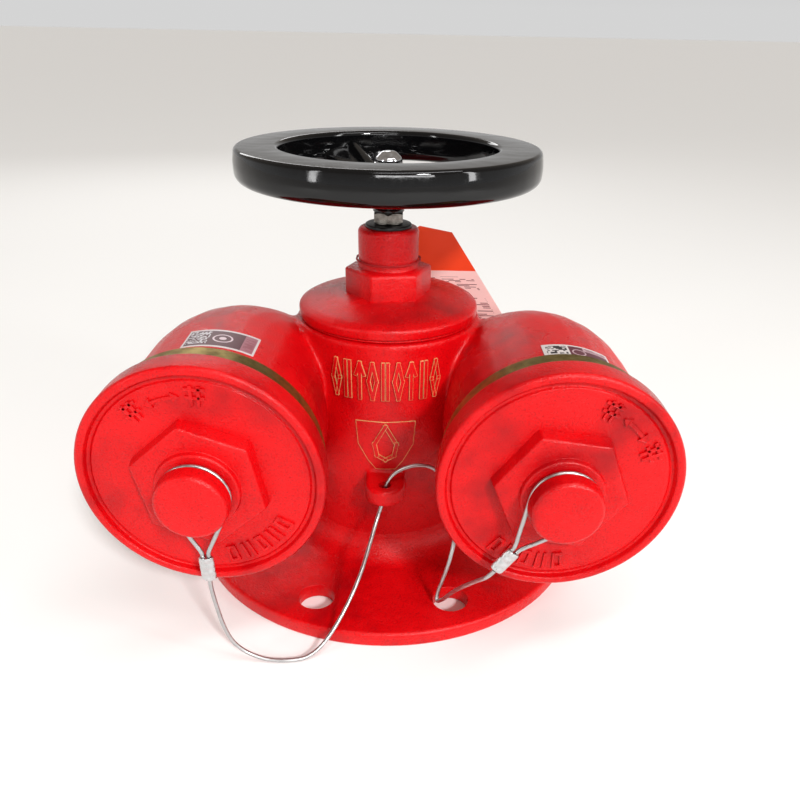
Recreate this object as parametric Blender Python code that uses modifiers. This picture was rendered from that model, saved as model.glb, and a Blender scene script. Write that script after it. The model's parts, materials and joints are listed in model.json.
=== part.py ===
"""Twin-hose fire hydrant valve on a DN100 flange.

A cast body carries two capped hose connections that face -Y, a screw-down valve
with a rising handwheel, and wire-rope tethers that keep the caps with the body.
Run with: blender --background --python part.py
Units are metres, +Z is up, and the origin is under the middle of the object's box.
"""
import math

import bmesh
import bpy
from mathutils import Matrix, Vector

MM = 0.001

# ---- Clearances ----
FACE_GAP = 0.3 * MM  # between two faces that meet
THREAD_GAP = 0.5 * MM  # radial, between a screwed pair
STEM_GAP = 0.3 * MM  # radial, round the plain part of the spindle
CUT_PAST = 5 * MM  # how far a cutter runs past the face that it opens

# ---- Base flange, drilled as DN100 PN16 ----
FLANGE_RADIUS = 110 * MM
FLANGE_THICKNESS = 8 * MM
FLANGE_EDGE = 1.2 * MM
BORE_RADIUS = 50 * MM
BOLT_COUNT = 8
BOLT_HOLE_RADIUS = 9 * MM
BOLT_CIRCLE_RADIUS = 90 * MM
HUB_FILLET = 14 * MM

# ---- Barrel ----
BARREL_RADIUS = 47 * MM
BARREL_WALL = 5.5 * MM
BARREL_TOP = 130.4 * MM
BARREL_EDGE = 1 * MM
SEAT_HEIGHT = 48 * MM  # top of the brass seat
SEAT_BORE_RADIUS = 32.5 * MM
SEAT_RING_WALL = 5.5 * MM
SEAT_RING_HEIGHT = 9.7 * MM
THROAT_RADIUS = 34 * MM

# ---- Hose connections ----
HOSE_X = 75 * MM
HOSE_Z = 94 * MM
BEND_RADIUS = 44 * MM
ELBOW_ROOT_Z = 83 * MM
ELBOW_ROOT_RADIUS = 30 * MM
ELBOW_ROOT_BORE = 24 * MM
TUBE_RADIUS = 47 * MM
TUBE_BORE = 36 * MM
TUBE_END = 82.5 * MM  # distance of the tube's end in front of the barrel's axis
SOCKET_DEPTH = 16 * MM
SOCKET_WALL = 5.5 * MM
GASKET_THICKNESS = 1 * MM
NIPPLE_FLANGE_RADIUS = 49.5 * MM
NIPPLE_FLANGE_WIDTH = 11.9 * MM
NIPPLE_THREAD_RADIUS = 45.8 * MM
NIPPLE_THREAD_LENGTH = 7.5 * MM
NIPPLE_BORE = 32.5 * MM

# ---- Caps ----
CAP_RADIUS = 52 * MM
CAP_DEPTH = 14 * MM  # back edge to the rim's face
CAP_FACE_RECESS = 2 * MM
CAP_RIM_WIDTH = 3.8 * MM
CAP_EDGE = 2.5 * MM
CAP_GASKET_THICKNESS = 1.9 * MM
CAP_HEX_RADIUS = 30 * MM
CAP_HEX_TOP_RADIUS = 28.6 * MM
CAP_HEX_HEIGHT = 6.5 * MM
COLLAR_RADIUS = 17.5 * MM
COLLAR_HEIGHT = 2.8 * MM
GROOVE_RADIUS = 12.5 * MM
GROOVE_WIDTH = 4.4 * MM
KNOB_RADIUS = 15.5 * MM
KNOB_LENGTH = 7.8 * MM
KNOB_EDGE = 1.2 * MM

# ---- Bonnet ----
BONNET_RADIUS = 45.5 * MM
BONNET_EDGE_THICKNESS = 5 * MM
BONNET_CROWN = 5.5 * MM
BONNET_PLUG_LENGTH = 9 * MM
BONNET_PLUG_RADIUS = 40.8 * MM
BONNET_SKIRT_WALL = 5 * MM
BONNET_PLATE = 6 * MM
HEX_RADIUS = 22 * MM
HEX_HEIGHT = 11.5 * MM
HEX_TURN = math.radians(39)
NECK_RADIUS = 14.9 * MM
NECK_HEIGHT = 19.2 * MM  # above the hexagon
NECK_SHOULDER = 3.4 * MM
BOSS_RADIUS = 20 * MM
BOSS_DROP = 14 * MM  # below the bonnet's seating face
STEM_NUT_RADIUS = 13 * MM
STEM_NUT_LENGTH = 21 * MM
STEM_NUT_COLLAR = 3 * MM
PACKING_BORE = 10.2 * MM
PACKING_DEPTH = 15 * MM
PACKING_COUNT = 3
PACKING_THICKNESS = 2.4 * MM
PACKING_WASHER_THICKNESS = 1.5 * MM
GLAND_HEAD_RADIUS = 11.2 * MM
GLAND_HEAD_HEIGHT = 1.3 * MM

# ---- Valve disc ----
DISC_RADIUS = 37 * MM
DISC_THICKNESS = 7.4 * MM
SEAL_THICKNESS = 4 * MM
SEAL_WASHER_RADIUS = 26 * MM
SEAL_WASHER_THICKNESS = 2.7 * MM
SEAL_NUT_RADIUS = 13.5 * MM
SEAL_NUT_HEIGHT = 7 * MM
STUD_RADIUS = 7.5 * MM
DISC_BOSS_RADIUS = 15 * MM
DISC_BOSS_HEIGHT = 16 * MM
FOOT_BORE = 11 * MM
LOCK_NUT_HEX_RADIUS = 14 * MM
LOCK_NUT_HEX_HEIGHT = 5 * MM
LIFT = 20 * MM

# ---- Spindle and handwheel ----
STEM_FOOT_RADIUS = 10 * MM
STEM_FOOT_HEIGHT = 3.7 * MM
STEM_THREAD_RADIUS = 8 * MM
STEM_RADIUS = 6 * MM
STEM_SEAT_RADIUS = 5.2 * MM
STEM_TIP_RADIUS = 4 * MM
SEAT_NUT_RADIUS = 7.9 * MM
SEAT_NUT_HEIGHT = 4.9 * MM
WHEEL_RADIUS = 71 * MM
WHEEL_TOP = 209 * MM
RIM_HEIGHT = 14.2 * MM
RIM_WIDTH = 20.7 * MM
HUB_RADIUS = 12 * MM
HUB_LENGTH = 14.6 * MM
HUB_FOOT_RADIUS = 7.6 * MM
HUB_FOOT_HEIGHT = 4.4 * MM
SPOKE_COUNT = 3
SPOKE_START = math.radians(113)
SPOKE_HUB_WIDTH = 17 * MM
SPOKE_RIM_WIDTH = 30 * MM
SPOKE_THICKNESS = 4.5 * MM
SPOKE_DROP = 9.3 * MM  # below the hub's top
RIB_WIDTH = 4.5 * MM
RIB_HEIGHT = 3 * MM
RIB_DROP = 3 * MM  # below the rim's top
WHEEL_WASHER_RADIUS = 8 * MM
WHEEL_WASHER_THICKNESS = 1.5 * MM
WHEEL_NUT_RADIUS = 7.5 * MM
WHEEL_NUT_HEX_HEIGHT = 4.9 * MM
WHEEL_NUT_HEIGHT = 9.6 * MM

# ---- Tether lug, ropes and their loops ----
LUG_RADIUS = 10 * MM
LUG_REACH = 57 * MM
LUG_TOP = 62 * MM
LUG_THICKNESS = 8.5 * MM
LUG_HOLE_RADIUS = 3.2 * MM
LUG_HOLE_REACH = 59.5 * MM
ROPE_RADIUS = 1 * MM
LOOP_SLACK = 0.4 * MM
FERRULE_START = 31.5 * MM  # from the cap's axis
FERRULE_LENGTH = 12 * MM
FERRULE_WIDTH = 6.4 * MM
FERRULE_DEPTH = 4.2 * MM
LOOP_TILT = {"left": 0.0, "right": math.radians(-34.7)}

# Rope routes from the lug to the ferrule, from the barrel's axis on the base.
LEFT_ROUTE = [
    (0, -59.5, 57.6), (-1.2, -60.6, 52), (-4.2, -65, 43), (-7.5, -76, 35), (-11.5, -90, 27.5),
    (-18.5, -104, 17), (-27, -114, 7), (-35, -119.5, 2.4), (-44, -121.5, 1.7),
    (-54, -121.5, 2.2), (-63, -120.5, 5.5), (-69, -120.2, 12), (-72.2, -120.3, 22),
    (-74, -120.2, 34), (-75, -120, 44), (-75, -120, 50.2),
]
RIGHT_ROUTE = [
    (0, -59.5, 57.9), (0.8, -58.8, 62), (4.2, -56.8, 66.6), (10.5, -54, 69), (18, -51.5, 69),
    (25, -51, 66.5), (30.5, -57, 61.5), (34.2, -68, 54.5), (35, -79, 46), (33, -85, 36),
    (30.2, -86, 24.5), (27.8, -86.6, 15.8), (27.4, -88.6, 11.4), (30.2, -91.6, 15.2),
    (34, -96.5, 24), (38.5, -104, 34.5), (43.2, -111.5, 44.2), (46.8, -118.2, 52.3),
    (49.8, -120, 57.6),
]
TETHER_STEP = 6 * MM

# ---- Hang tag ----
TAG_WIDTH = 44 * MM
TAG_LENGTH = 92 * MM
TAG_THICKNESS = 0.6 * MM
TAG_CORNER = 13 * MM
TAG_TILT = math.radians(34.8)
TAG_TOP = (8.4 * MM, 157.5 * MM)  # x and z of the middle of its top edge
TAG_HOLE_RADIUS = 2.4 * MM
TAG_HOLE_INSET = 8 * MM
STRING_RADIUS = 0.5 * MM

# ---- Values that follow from the sizes above ----
SIDES = {"left": -1, "right": 1}
NIPPLE_BACK = TUBE_END + GASKET_THICKNESS + 2 * FACE_GAP
NIPPLE_FRONT = NIPPLE_BACK + NIPPLE_FLANGE_WIDTH + NIPPLE_THREAD_LENGTH
SOCKET_RADIUS = TUBE_RADIUS - SOCKET_WALL
CAP_BACK = NIPPLE_BACK + NIPPLE_FLANGE_WIDTH + THREAD_GAP
CAP_RIM = CAP_BACK + CAP_DEPTH
CAP_FACE = CAP_RIM - CAP_FACE_RECESS
CAP_FLOOR = NIPPLE_FRONT + CAP_GASKET_THICKNESS + 2 * FACE_GAP
CAP_THREAD_RADIUS = NIPPLE_THREAD_RADIUS + THREAD_GAP
HEX_FRONT = CAP_FACE + CAP_HEX_HEIGHT
COLLAR_FRONT = HEX_FRONT + COLLAR_HEIGHT
KNOB_BACK = COLLAR_FRONT + GROOVE_WIDTH
KNOB_FRONT = KNOB_BACK + KNOB_LENGTH
LOOP_PLANE = COLLAR_FRONT + GROOVE_WIDTH / 2
LOOP_RADIUS = GROOVE_RADIUS + LOOP_SLACK + ROPE_RADIUS
FRAME_Y = (KNOB_FRONT - FLANGE_RADIUS) / 2  # puts the origin under the box's middle
BONNET_SEAT = BARREL_TOP + GASKET_THICKNESS + 2 * FACE_GAP
BONNET_TOP = BONNET_SEAT + BONNET_EDGE_THICKNESS
CROWN_TOP = BONNET_TOP + BONNET_CROWN
HEX_TOP = CROWN_TOP + HEX_HEIGHT
NECK_TOP = HEX_TOP + NECK_HEIGHT
PLUG_BOTTOM = BONNET_SEAT - BONNET_PLUG_LENGTH
BOSS_BOTTOM = BONNET_SEAT - BOSS_DROP
STEM_NUT_TOP = BOSS_BOTTOM - FACE_GAP + STEM_NUT_LENGTH
PACKING_BOTTOM = NECK_TOP - PACKING_DEPTH
CHAMBER_RADIUS = BARREL_RADIUS - BARREL_WALL
SEAT_RING_RADIUS = SEAT_BORE_RADIUS + SEAT_RING_WALL
SEAL_BOTTOM = SEAT_HEIGHT + FACE_GAP
DISC_BOTTOM = SEAL_BOTTOM + SEAL_THICKNESS + FACE_GAP
DISC_TOP = DISC_BOTTOM + DISC_THICKNESS
DISC_BOSS_TOP = DISC_TOP + DISC_BOSS_HEIGHT
FOOT_BOTTOM = DISC_TOP + FACE_GAP
HUB_BOTTOM = WHEEL_TOP - RIM_HEIGHT - HUB_LENGTH + 0.2 * MM
SEAT_NUT_BOTTOM = HUB_BOTTOM - FACE_GAP - SEAT_NUT_HEIGHT
HUB_TOP = HUB_BOTTOM + HUB_LENGTH
WASHER_BOTTOM = HUB_TOP + FACE_GAP
WHEEL_NUT_BOTTOM = WASHER_BOTTOM + WHEEL_WASHER_THICKNESS + FACE_GAP
TAG_PLANE = BARREL_RADIUS + 1.5 * MM


# ---- Scene helpers ----
def clear_scene():
    """Remove whatever the scene holds at the start."""
    for obj in list(bpy.data.objects):
        bpy.data.objects.remove(obj, do_unlink=True)


def make_collection(name):
    collection = bpy.data.collections.new(name)
    bpy.context.scene.collection.children.link(collection)
    return collection


def make_material(name, color, roughness, metallic):
    material = bpy.data.materials.new(name)
    material.use_nodes = True
    shader = material.node_tree.nodes["Principled BSDF"]
    shader.inputs["Base Color"].default_value = (*color, 1)
    shader.inputs["Roughness"].default_value = roughness
    shader.inputs["Metallic"].default_value = metallic
    return material


clear_scene()
PARTS = make_collection("twin_hose_hydrant")
CUTTERS = make_collection("cutters")
RED = make_material("red_enamel", (0.62, 0.008, 0.012), 0.35, 0.0)
BLACK = make_material("black_enamel", (0.008, 0.008, 0.009), 0.12, 0.0)
BRASS = make_material("brass", (0.36, 0.27, 0.10), 0.4, 1.0)
STEEL = make_material("steel", (0.45, 0.44, 0.42), 0.35, 1.0)
CHROME = make_material("chrome", (0.75, 0.75, 0.77), 0.12, 1.0)
ALUMINIUM = make_material("aluminium", (0.68, 0.68, 0.69), 0.4, 1.0)
RUBBER = make_material("rubber", (0.02, 0.02, 0.02), 0.8, 0.0)
FIBRE = make_material("fibre", (0.09, 0.07, 0.05), 0.9, 0.0)
CARD = make_material("card", (0.75, 0.35, 0.30), 0.5, 0.0)


def make_frame(name, location, parent=None, rotation=(0, 0, 0)):
    """Add an empty that places what is parented to it."""
    empty = bpy.data.objects.new(name, None)
    empty.location = location
    empty.rotation_euler = rotation
    empty.parent = parent
    PARTS.objects.link(empty)
    return empty


def place(obj, frame, material=None):
    """Link a finished piece, or a cutter when it has no material."""
    obj.parent = frame
    if material is None:
        CUTTERS.objects.link(obj)
        obj.hide_render = True
        obj.display_type = "WIRE"
    else:
        PARTS.objects.link(obj)
        obj.data.materials.append(material)
    return obj


def turned(name, profile, frame, material=None, closed=True, steps=28):
    """Turn a profile of (radius, height) points, listed down its outer side, about Z."""
    mesh = bpy.data.meshes.new(name)
    edges = [(i, i + 1) for i in range(len(profile) - 1)]
    if closed:
        edges.append((len(profile) - 1, 0))
    mesh.from_pydata([(r, 0, z) for r, z in profile], edges, [])
    obj = place(bpy.data.objects.new(name, mesh), frame, material)
    screw = obj.modifiers.new("Turn", "SCREW")
    screw.steps = steps
    screw.render_steps = steps
    screw.use_merge_vertices = True
    screw.merge_threshold = 0.01 * MM
    screw.use_smooth_shade = True
    return obj


def prism(name, radius, bottom, height, frame, material=None, **options):
    """Add an upright prism or cylinder, which may taper, turn and stand off the axis."""
    sides = options.get("sides", 6)
    x, y = options.get("centre", (0, 0))
    mesh = bpy.data.meshes.new(name)
    shape = bmesh.new()
    middle = Matrix.Translation((x, y, bottom + height / 2))
    spin = Matrix.Rotation(options.get("turn", 0), 4, "Z")
    bmesh.ops.create_cone(
        shape, cap_ends=True, segments=sides, radius1=radius,
        radius2=options.get("top_radius", radius), depth=height, matrix=middle @ spin)
    shape.to_mesh(mesh)
    shape.free()
    return place(bpy.data.objects.new(name, mesh), frame, material)


def bmesh_box(name, centre, size, frame, material=None):
    mesh = bpy.data.meshes.new(name)
    shape = bmesh.new()
    bmesh.ops.create_cube(shape, size=1, matrix=Matrix.Translation(centre)
                          @ Matrix.Diagonal((*size, 1)))
    shape.to_mesh(mesh)
    shape.free()
    return place(bpy.data.objects.new(name, mesh), frame, material)


def combine(target, other, operation):
    """Join another shape to a piece or cut it away, and keep that shape as a guide."""
    modifier = target.modifiers.new(other.name, "BOOLEAN")
    modifier.operation = operation
    modifier.object = other
    other.hide_render = True
    other.display_type = "WIRE"


def curve_tube(name, points, depth, frame, material=None, radii=None, sides=6):
    """Sweep a round section along points; radii scale it point by point."""
    curve = bpy.data.curves.new(name, "CURVE")
    curve.dimensions = "3D"
    curve.bevel_depth = depth
    curve.bevel_resolution = (sides - 4) // 2
    curve.use_fill_caps = True
    curve.render_resolution_u = 0
    spline = curve.splines.new("POLY")
    spline.points.add(len(points) - 1)
    for i, point in enumerate(points):
        spline.points[i].co = (*point, 1)
        spline.points[i].radius = radii[i] / depth if radii else 1
    return place(bpy.data.objects.new(name, curve), frame, material)


def curve_to_mesh(obj):
    """Replace a curve object by the same shape as a welded mesh."""
    graph = bpy.context.evaluated_depsgraph_get()
    graph.update()
    mesh = bpy.data.meshes.new_from_object(obj.evaluated_get(graph))
    shape = bmesh.new()
    shape.from_mesh(mesh)
    bmesh.ops.remove_doubles(shape, verts=shape.verts, dist=0.01 * MM)
    bmesh.ops.recalc_face_normals(shape, faces=shape.faces)
    shape.to_mesh(mesh)
    shape.free()
    name = obj.name
    solid = bpy.data.objects.new(name + "_solid", mesh)
    for collection in list(obj.users_collection):
        collection.objects.link(solid)
    solid.parent = obj.parent
    solid.matrix_world = obj.matrix_world
    solid.hide_render = obj.hide_render
    solid.display_type = obj.display_type
    bpy.data.objects.remove(obj, do_unlink=True)
    solid.name = name
    return solid


def smooth_route(points, step):
    """Read evenly spaced points from a Catmull-Rom curve through a route."""
    ends = [points[0] * 2 - points[1], *points, points[-1] * 2 - points[-2]]
    dense = []
    for a, b, c, d in zip(ends, ends[1:], ends[2:], ends[3:]):
        for i in range(16):
            t = i / 16
            dense.append(0.5 * (2 * b + (c - a) * t + (2 * a - 5 * b + 4 * c - d) * t ** 2
                                + (3 * b - a - 3 * c + d) * t ** 3))
    dense.append(points[-1])
    lengths = [0.0]
    for a, b in zip(dense, dense[1:]):
        lengths.append(lengths[-1] + (b - a).length)
    count = max(2, round(lengths[-1] / step))
    out = []
    j = 0
    for i in range(count + 1):
        goal = lengths[-1] * i / count
        while j < len(dense) - 2 and lengths[j + 1] < goal:
            j += 1
        share = (goal - lengths[j]) / (lengths[j + 1] - lengths[j])
        out.append(dense[j].lerp(dense[j + 1], share))
    return out


def arc(centre, radius, start, end, steps):
    """Points of a round stretch of a profile, by angle in degrees."""
    angles = [math.radians(start + (end - start) * i / steps) for i in range(steps + 1)]
    return [(centre[0] + radius * math.cos(a), centre[1] + radius * math.sin(a)) for a in angles]


# ---- Cast body ----
def hose_path(side, reach, steps):
    """Centre line of a hose connection, with how far the taper has run at each point."""
    start_x = HOSE_X - BEND_RADIUS
    shares = [1 - (1 - (i / steps) ** 1.5) ** 3 for i in range(steps + 1)]
    points = [Vector((side * start_x / 6, 0, ELBOW_ROOT_Z))]
    for i, share in enumerate(shares):
        angle = math.pi / 2 * (1 - i / steps)
        x = start_x + BEND_RADIUS * math.cos(angle)
        y = BEND_RADIUS * (math.sin(angle) - 1)
        z = ELBOW_ROOT_Z + (HOSE_Z - ELBOW_ROOT_Z) * share
        points.append(Vector((side * x, y, z)))
    points.append(Vector((side * HOSE_X, -reach, HOSE_Z)))
    return points, [0, *shares, 1]


def hose_tube(name, side, reach, radii, frame, **fineness):
    """Sweep a hose connection whose radius grows from the barrel to the tube."""
    root_radius, end_radius = radii
    points, shares = hose_path(side, reach, fineness["steps"])
    radii = [root_radius + (end_radius - root_radius) * s for s in shares]
    tube = curve_tube(name, points, end_radius, frame, radii=radii, sides=fineness["sides"])
    return curve_to_mesh(tube)


def build_body(frame):
    fillet_top = FLANGE_THICKNESS + HUB_FILLET
    corner = (BARREL_RADIUS + HUB_FILLET, fillet_top)
    outline = [(0, BARREL_TOP), (BARREL_RADIUS - BARREL_EDGE, BARREL_TOP),
               (BARREL_RADIUS, BARREL_TOP - BARREL_EDGE)]
    outline += arc(corner, HUB_FILLET, 180, 270, 5)
    outline += [(FLANGE_RADIUS - FLANGE_EDGE, FLANGE_THICKNESS),
                (FLANGE_RADIUS, FLANGE_THICKNESS - FLANGE_EDGE),
                (FLANGE_RADIUS, FLANGE_EDGE), (FLANGE_RADIUS - FLANGE_EDGE, 0), (0, 0)]
    body = turned("valve_body", outline, frame, RED, closed=False, steps=40)

    for word, side in SIDES.items():
        outer = hose_tube(word + "_elbow", side, TUBE_END, (ELBOW_ROOT_RADIUS, TUBE_RADIUS),
                          frame, steps=6, sides=24)
        combine(body, outer, "UNION")
    lug_bottom = LUG_TOP - LUG_THICKNESS
    lug = prism("lug_end", LUG_RADIUS, lug_bottom, LUG_THICKNESS, frame, sides=24,
                centre=(0, -LUG_REACH))
    bmesh_box("lug_root", (0, -(LUG_REACH + CHAMBER_RADIUS) / 2, LUG_TOP - LUG_THICKNESS / 2),
              (2 * LUG_RADIUS, LUG_REACH - CHAMBER_RADIUS, LUG_THICKNESS), frame)
    combine(lug, bpy.data.objects["lug_root"], "UNION")
    combine(body, lug, "UNION")

    pocket = SEAT_RING_RADIUS + FACE_GAP
    pocket_floor = SEAT_HEIGHT - SEAT_RING_HEIGHT
    thread = BONNET_PLUG_RADIUS + THREAD_GAP
    waterway = [
        (0, BARREL_TOP + 5 * MM), (thread, BARREL_TOP + 5 * MM), (thread, PLUG_BOTTOM - FACE_GAP),
        (CHAMBER_RADIUS, PLUG_BOTTOM - 2 * MM), (CHAMBER_RADIUS, SEAT_HEIGHT - 1 * MM),
        (pocket, SEAT_HEIGHT - 2 * MM), (pocket, pocket_floor - FACE_GAP),
        (THROAT_RADIUS, pocket_floor - FACE_GAP), (THROAT_RADIUS, pocket_floor - 6 * MM),
        (BORE_RADIUS, 3 * MM), (BORE_RADIUS, -5 * MM), (0, -5 * MM)]
    combine(body, turned("waterway", waterway, frame, closed=False, steps=32), "DIFFERENCE")
    for word, side in SIDES.items():
        bore = hose_tube(word + "_passage", side, TUBE_END + 5 * MM, (ELBOW_ROOT_BORE, TUBE_BORE),
                         frame, steps=4, sides=16)
        combine(body, bore, "DIFFERENCE")
        hose = make_frame(word + "_socket_frame", (side * HOSE_X, 0, HOSE_Z), frame,
                          (math.pi / 2, 0, 0))
        socket = prism(word + "_socket", SOCKET_RADIUS, TUBE_END - SOCKET_DEPTH,
                       SOCKET_DEPTH + CUT_PAST, hose, sides=28)
        combine(body, socket, "DIFFERENCE")
    for i in range(BOLT_COUNT):
        angle = 2 * math.pi * (i + 0.5) / BOLT_COUNT
        centre = (BOLT_CIRCLE_RADIUS * math.sin(angle), -BOLT_CIRCLE_RADIUS * math.cos(angle))
        hole = prism(f"bolt_hole_{i + 1}", BOLT_HOLE_RADIUS, -5 * MM, FLANGE_THICKNESS + 10 * MM,
                     frame, sides=12, centre=centre)
        combine(body, hole, "DIFFERENCE")
    eye = prism("lug_hole", LUG_HOLE_RADIUS, lug_bottom - 5 * MM, LUG_THICKNESS + 10 * MM, frame,
                sides=16, centre=(0, -LUG_HOLE_REACH))
    combine(body, eye, "DIFFERENCE")


def build_seat(frame):
    bottom = SEAT_HEIGHT - SEAT_RING_HEIGHT
    land = 2 * MM
    turned("seat_ring", [
        (SEAT_BORE_RADIUS, SEAT_HEIGHT), (SEAT_BORE_RADIUS + land, SEAT_HEIGHT),
        (SEAT_RING_RADIUS, SEAT_HEIGHT - land), (SEAT_RING_RADIUS, bottom),
        (SEAT_BORE_RADIUS, bottom)], frame, BRASS)


# ---- Bonnet, packing and gland ----
def build_bonnet(frame):
    bush = STEM_NUT_RADIUS + FACE_GAP
    skirt_bore = BONNET_PLUG_RADIUS - BONNET_SKIRT_WALL
    cavity = STEM_THREAD_RADIUS + THREAD_GAP + 0.5 * MM
    plate_bottom = BONNET_TOP - BONNET_PLATE
    bonnet = turned("bonnet", [
        (PACKING_BORE, NECK_TOP), *arc(
            (NECK_RADIUS - NECK_SHOULDER, NECK_TOP - NECK_SHOULDER), NECK_SHOULDER, 90, 0, 3),
        (NECK_RADIUS, CROWN_TOP),
        (HEX_RADIUS, CROWN_TOP - 0.3 * MM), (BONNET_RADIUS - 1 * MM, BONNET_TOP),
        (BONNET_RADIUS, BONNET_TOP - 1 * MM), (BONNET_RADIUS, BONNET_SEAT),
        (BONNET_PLUG_RADIUS, BONNET_SEAT), (BONNET_PLUG_RADIUS, PLUG_BOTTOM),
        (skirt_bore, PLUG_BOTTOM), (skirt_bore, plate_bottom), (BOSS_RADIUS, plate_bottom),
        (BOSS_RADIUS, BOSS_BOTTOM), (bush, BOSS_BOTTOM), (bush, STEM_NUT_TOP + FACE_GAP),
        (cavity, STEM_NUT_TOP + FACE_GAP), (cavity, PACKING_BOTTOM),
        (PACKING_BORE, PACKING_BOTTOM)], frame, RED, steps=32)
    hexagon = prism("bonnet_hexagon", HEX_RADIUS, CROWN_TOP - 2 * MM, HEX_HEIGHT + 2 * MM, frame,
                    turn=HEX_TURN)
    core = prism("bonnet_core", cavity + 3 * MM, CROWN_TOP - 4 * MM, HEX_HEIGHT + 8 * MM, frame,
                 sides=32)
    combine(hexagon, core, "DIFFERENCE")
    combine(bonnet, hexagon, "UNION")
    turned("bonnet_gasket", [
        (BONNET_PLUG_RADIUS + 2 * THREAD_GAP, BONNET_SEAT - FACE_GAP),
        (BONNET_RADIUS - 0.5 * MM, BONNET_SEAT - FACE_GAP),
        (BONNET_RADIUS - 0.5 * MM, BARREL_TOP + FACE_GAP),
        (BONNET_PLUG_RADIUS + 2 * THREAD_GAP, BARREL_TOP + FACE_GAP)], frame, FIBRE)


def build_packing(frame):
    collar_top = BOSS_BOTTOM - FACE_GAP
    collar_bottom = collar_top - STEM_NUT_COLLAR
    bore = STEM_THREAD_RADIUS + THREAD_GAP
    turned("stem_nut", [
        (bore, STEM_NUT_TOP), (STEM_NUT_RADIUS, STEM_NUT_TOP), (STEM_NUT_RADIUS, collar_top),
        (STEM_NUT_RADIUS + 3 * MM, collar_top), (STEM_NUT_RADIUS + 3 * MM, collar_bottom),
        (bore, collar_bottom)], frame, BRASS)
    inner = STEM_RADIUS + STEM_GAP
    outer = PACKING_BORE - FACE_GAP
    z = PACKING_BOTTOM + FACE_GAP
    ring(frame, "packing_washer", inner, outer, z, PACKING_WASHER_THICKNESS, BRASS)
    z += PACKING_WASHER_THICKNESS + FACE_GAP
    for i in range(PACKING_COUNT):
        ring(frame, f"packing_ring_{i + 1}", inner, outer, z, PACKING_THICKNESS, FIBRE)
        z += PACKING_THICKNESS + FACE_GAP
    head_bottom = NECK_TOP + FACE_GAP
    head_top = head_bottom + GLAND_HEAD_HEIGHT
    turned("gland_nut", [
        (inner, head_top), (GLAND_HEAD_RADIUS - 0.8 * MM, head_top),
        (GLAND_HEAD_RADIUS, head_top - 0.8 * MM), (GLAND_HEAD_RADIUS, head_bottom),
        (PACKING_BORE - THREAD_GAP, head_bottom), (PACKING_BORE - THREAD_GAP, z), (inner, z)],
        frame, BLACK, steps=24)


def ring(frame, name, inner, outer, bottom, thickness, material, steps=20):
    top = bottom + thickness
    return turned(name, [(inner, top), (outer, top), (outer, bottom), (inner, bottom)], frame,
                  material, steps=steps)


# ---- Valve disc ----
def build_disc(frame):
    stud_bottom = SEAL_BOTTOM - SEAL_WASHER_THICKNESS - SEAL_NUT_HEIGHT - 3 * MM
    turned("valve_disc", [
        (0, DISC_TOP), (FOOT_BORE, DISC_TOP), (FOOT_BORE, DISC_BOSS_TOP),
        (DISC_BOSS_RADIUS, DISC_BOSS_TOP), (DISC_BOSS_RADIUS, DISC_TOP + 2 * MM),
        (DISC_BOSS_RADIUS + 2 * MM, DISC_TOP), (DISC_RADIUS - 2 * MM, DISC_TOP),
        (DISC_RADIUS, DISC_TOP - 2 * MM), (DISC_RADIUS, DISC_BOTTOM), (STUD_RADIUS, DISC_BOTTOM),
        (STUD_RADIUS, stud_bottom + 1 * MM), (STUD_RADIUS - 1 * MM, stud_bottom),
        (0, stud_bottom)], frame, BRASS, closed=False)
    bore = STUD_RADIUS + THREAD_GAP
    ring(frame, "disc_seal", bore, DISC_RADIUS - 0.5 * MM, SEAL_BOTTOM, SEAL_THICKNESS, RUBBER)
    washer_bottom = SEAL_BOTTOM - FACE_GAP - SEAL_WASHER_THICKNESS
    ring(frame, "seal_washer", bore, SEAL_WASHER_RADIUS, washer_bottom, SEAL_WASHER_THICKNESS,
         BRASS)
    nut(frame, "seal_nut", SEAL_NUT_RADIUS, bore, washer_bottom - FACE_GAP - SEAL_NUT_HEIGHT,
        SEAL_NUT_HEIGHT, BRASS)

    lock_bore = STEM_THREAD_RADIUS + THREAD_GAP
    thread = FOOT_BORE - THREAD_GAP
    foot_top = FOOT_BOTTOM + STEM_FOOT_HEIGHT
    hex_bottom = DISC_BOSS_TOP + FACE_GAP
    lock = ring(frame, "disc_lock_nut", lock_bore, thread, foot_top + FACE_GAP,
                hex_bottom - foot_top, BRASS)
    head = prism("lock_nut_hexagon", LOCK_NUT_HEX_RADIUS, hex_bottom, LOCK_NUT_HEX_HEIGHT, frame)
    bore_cut = prism("lock_nut_bore", lock_bore, hex_bottom - 1 * MM,
                     LOCK_NUT_HEX_HEIGHT + 2 * MM, frame, sides=24)
    combine(head, bore_cut, "DIFFERENCE")
    combine(lock, head, "UNION")


def nut(frame, name, radius, bore, bottom, height, material):
    """Add a plain hexagon nut with a round bore."""
    body = prism(name, radius, bottom, height, frame, material)
    cut = prism(name + "_bore", bore, bottom - 1 * MM, height + 2 * MM, frame, sides=24)
    combine(body, cut, "DIFFERENCE")
    return body


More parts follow.
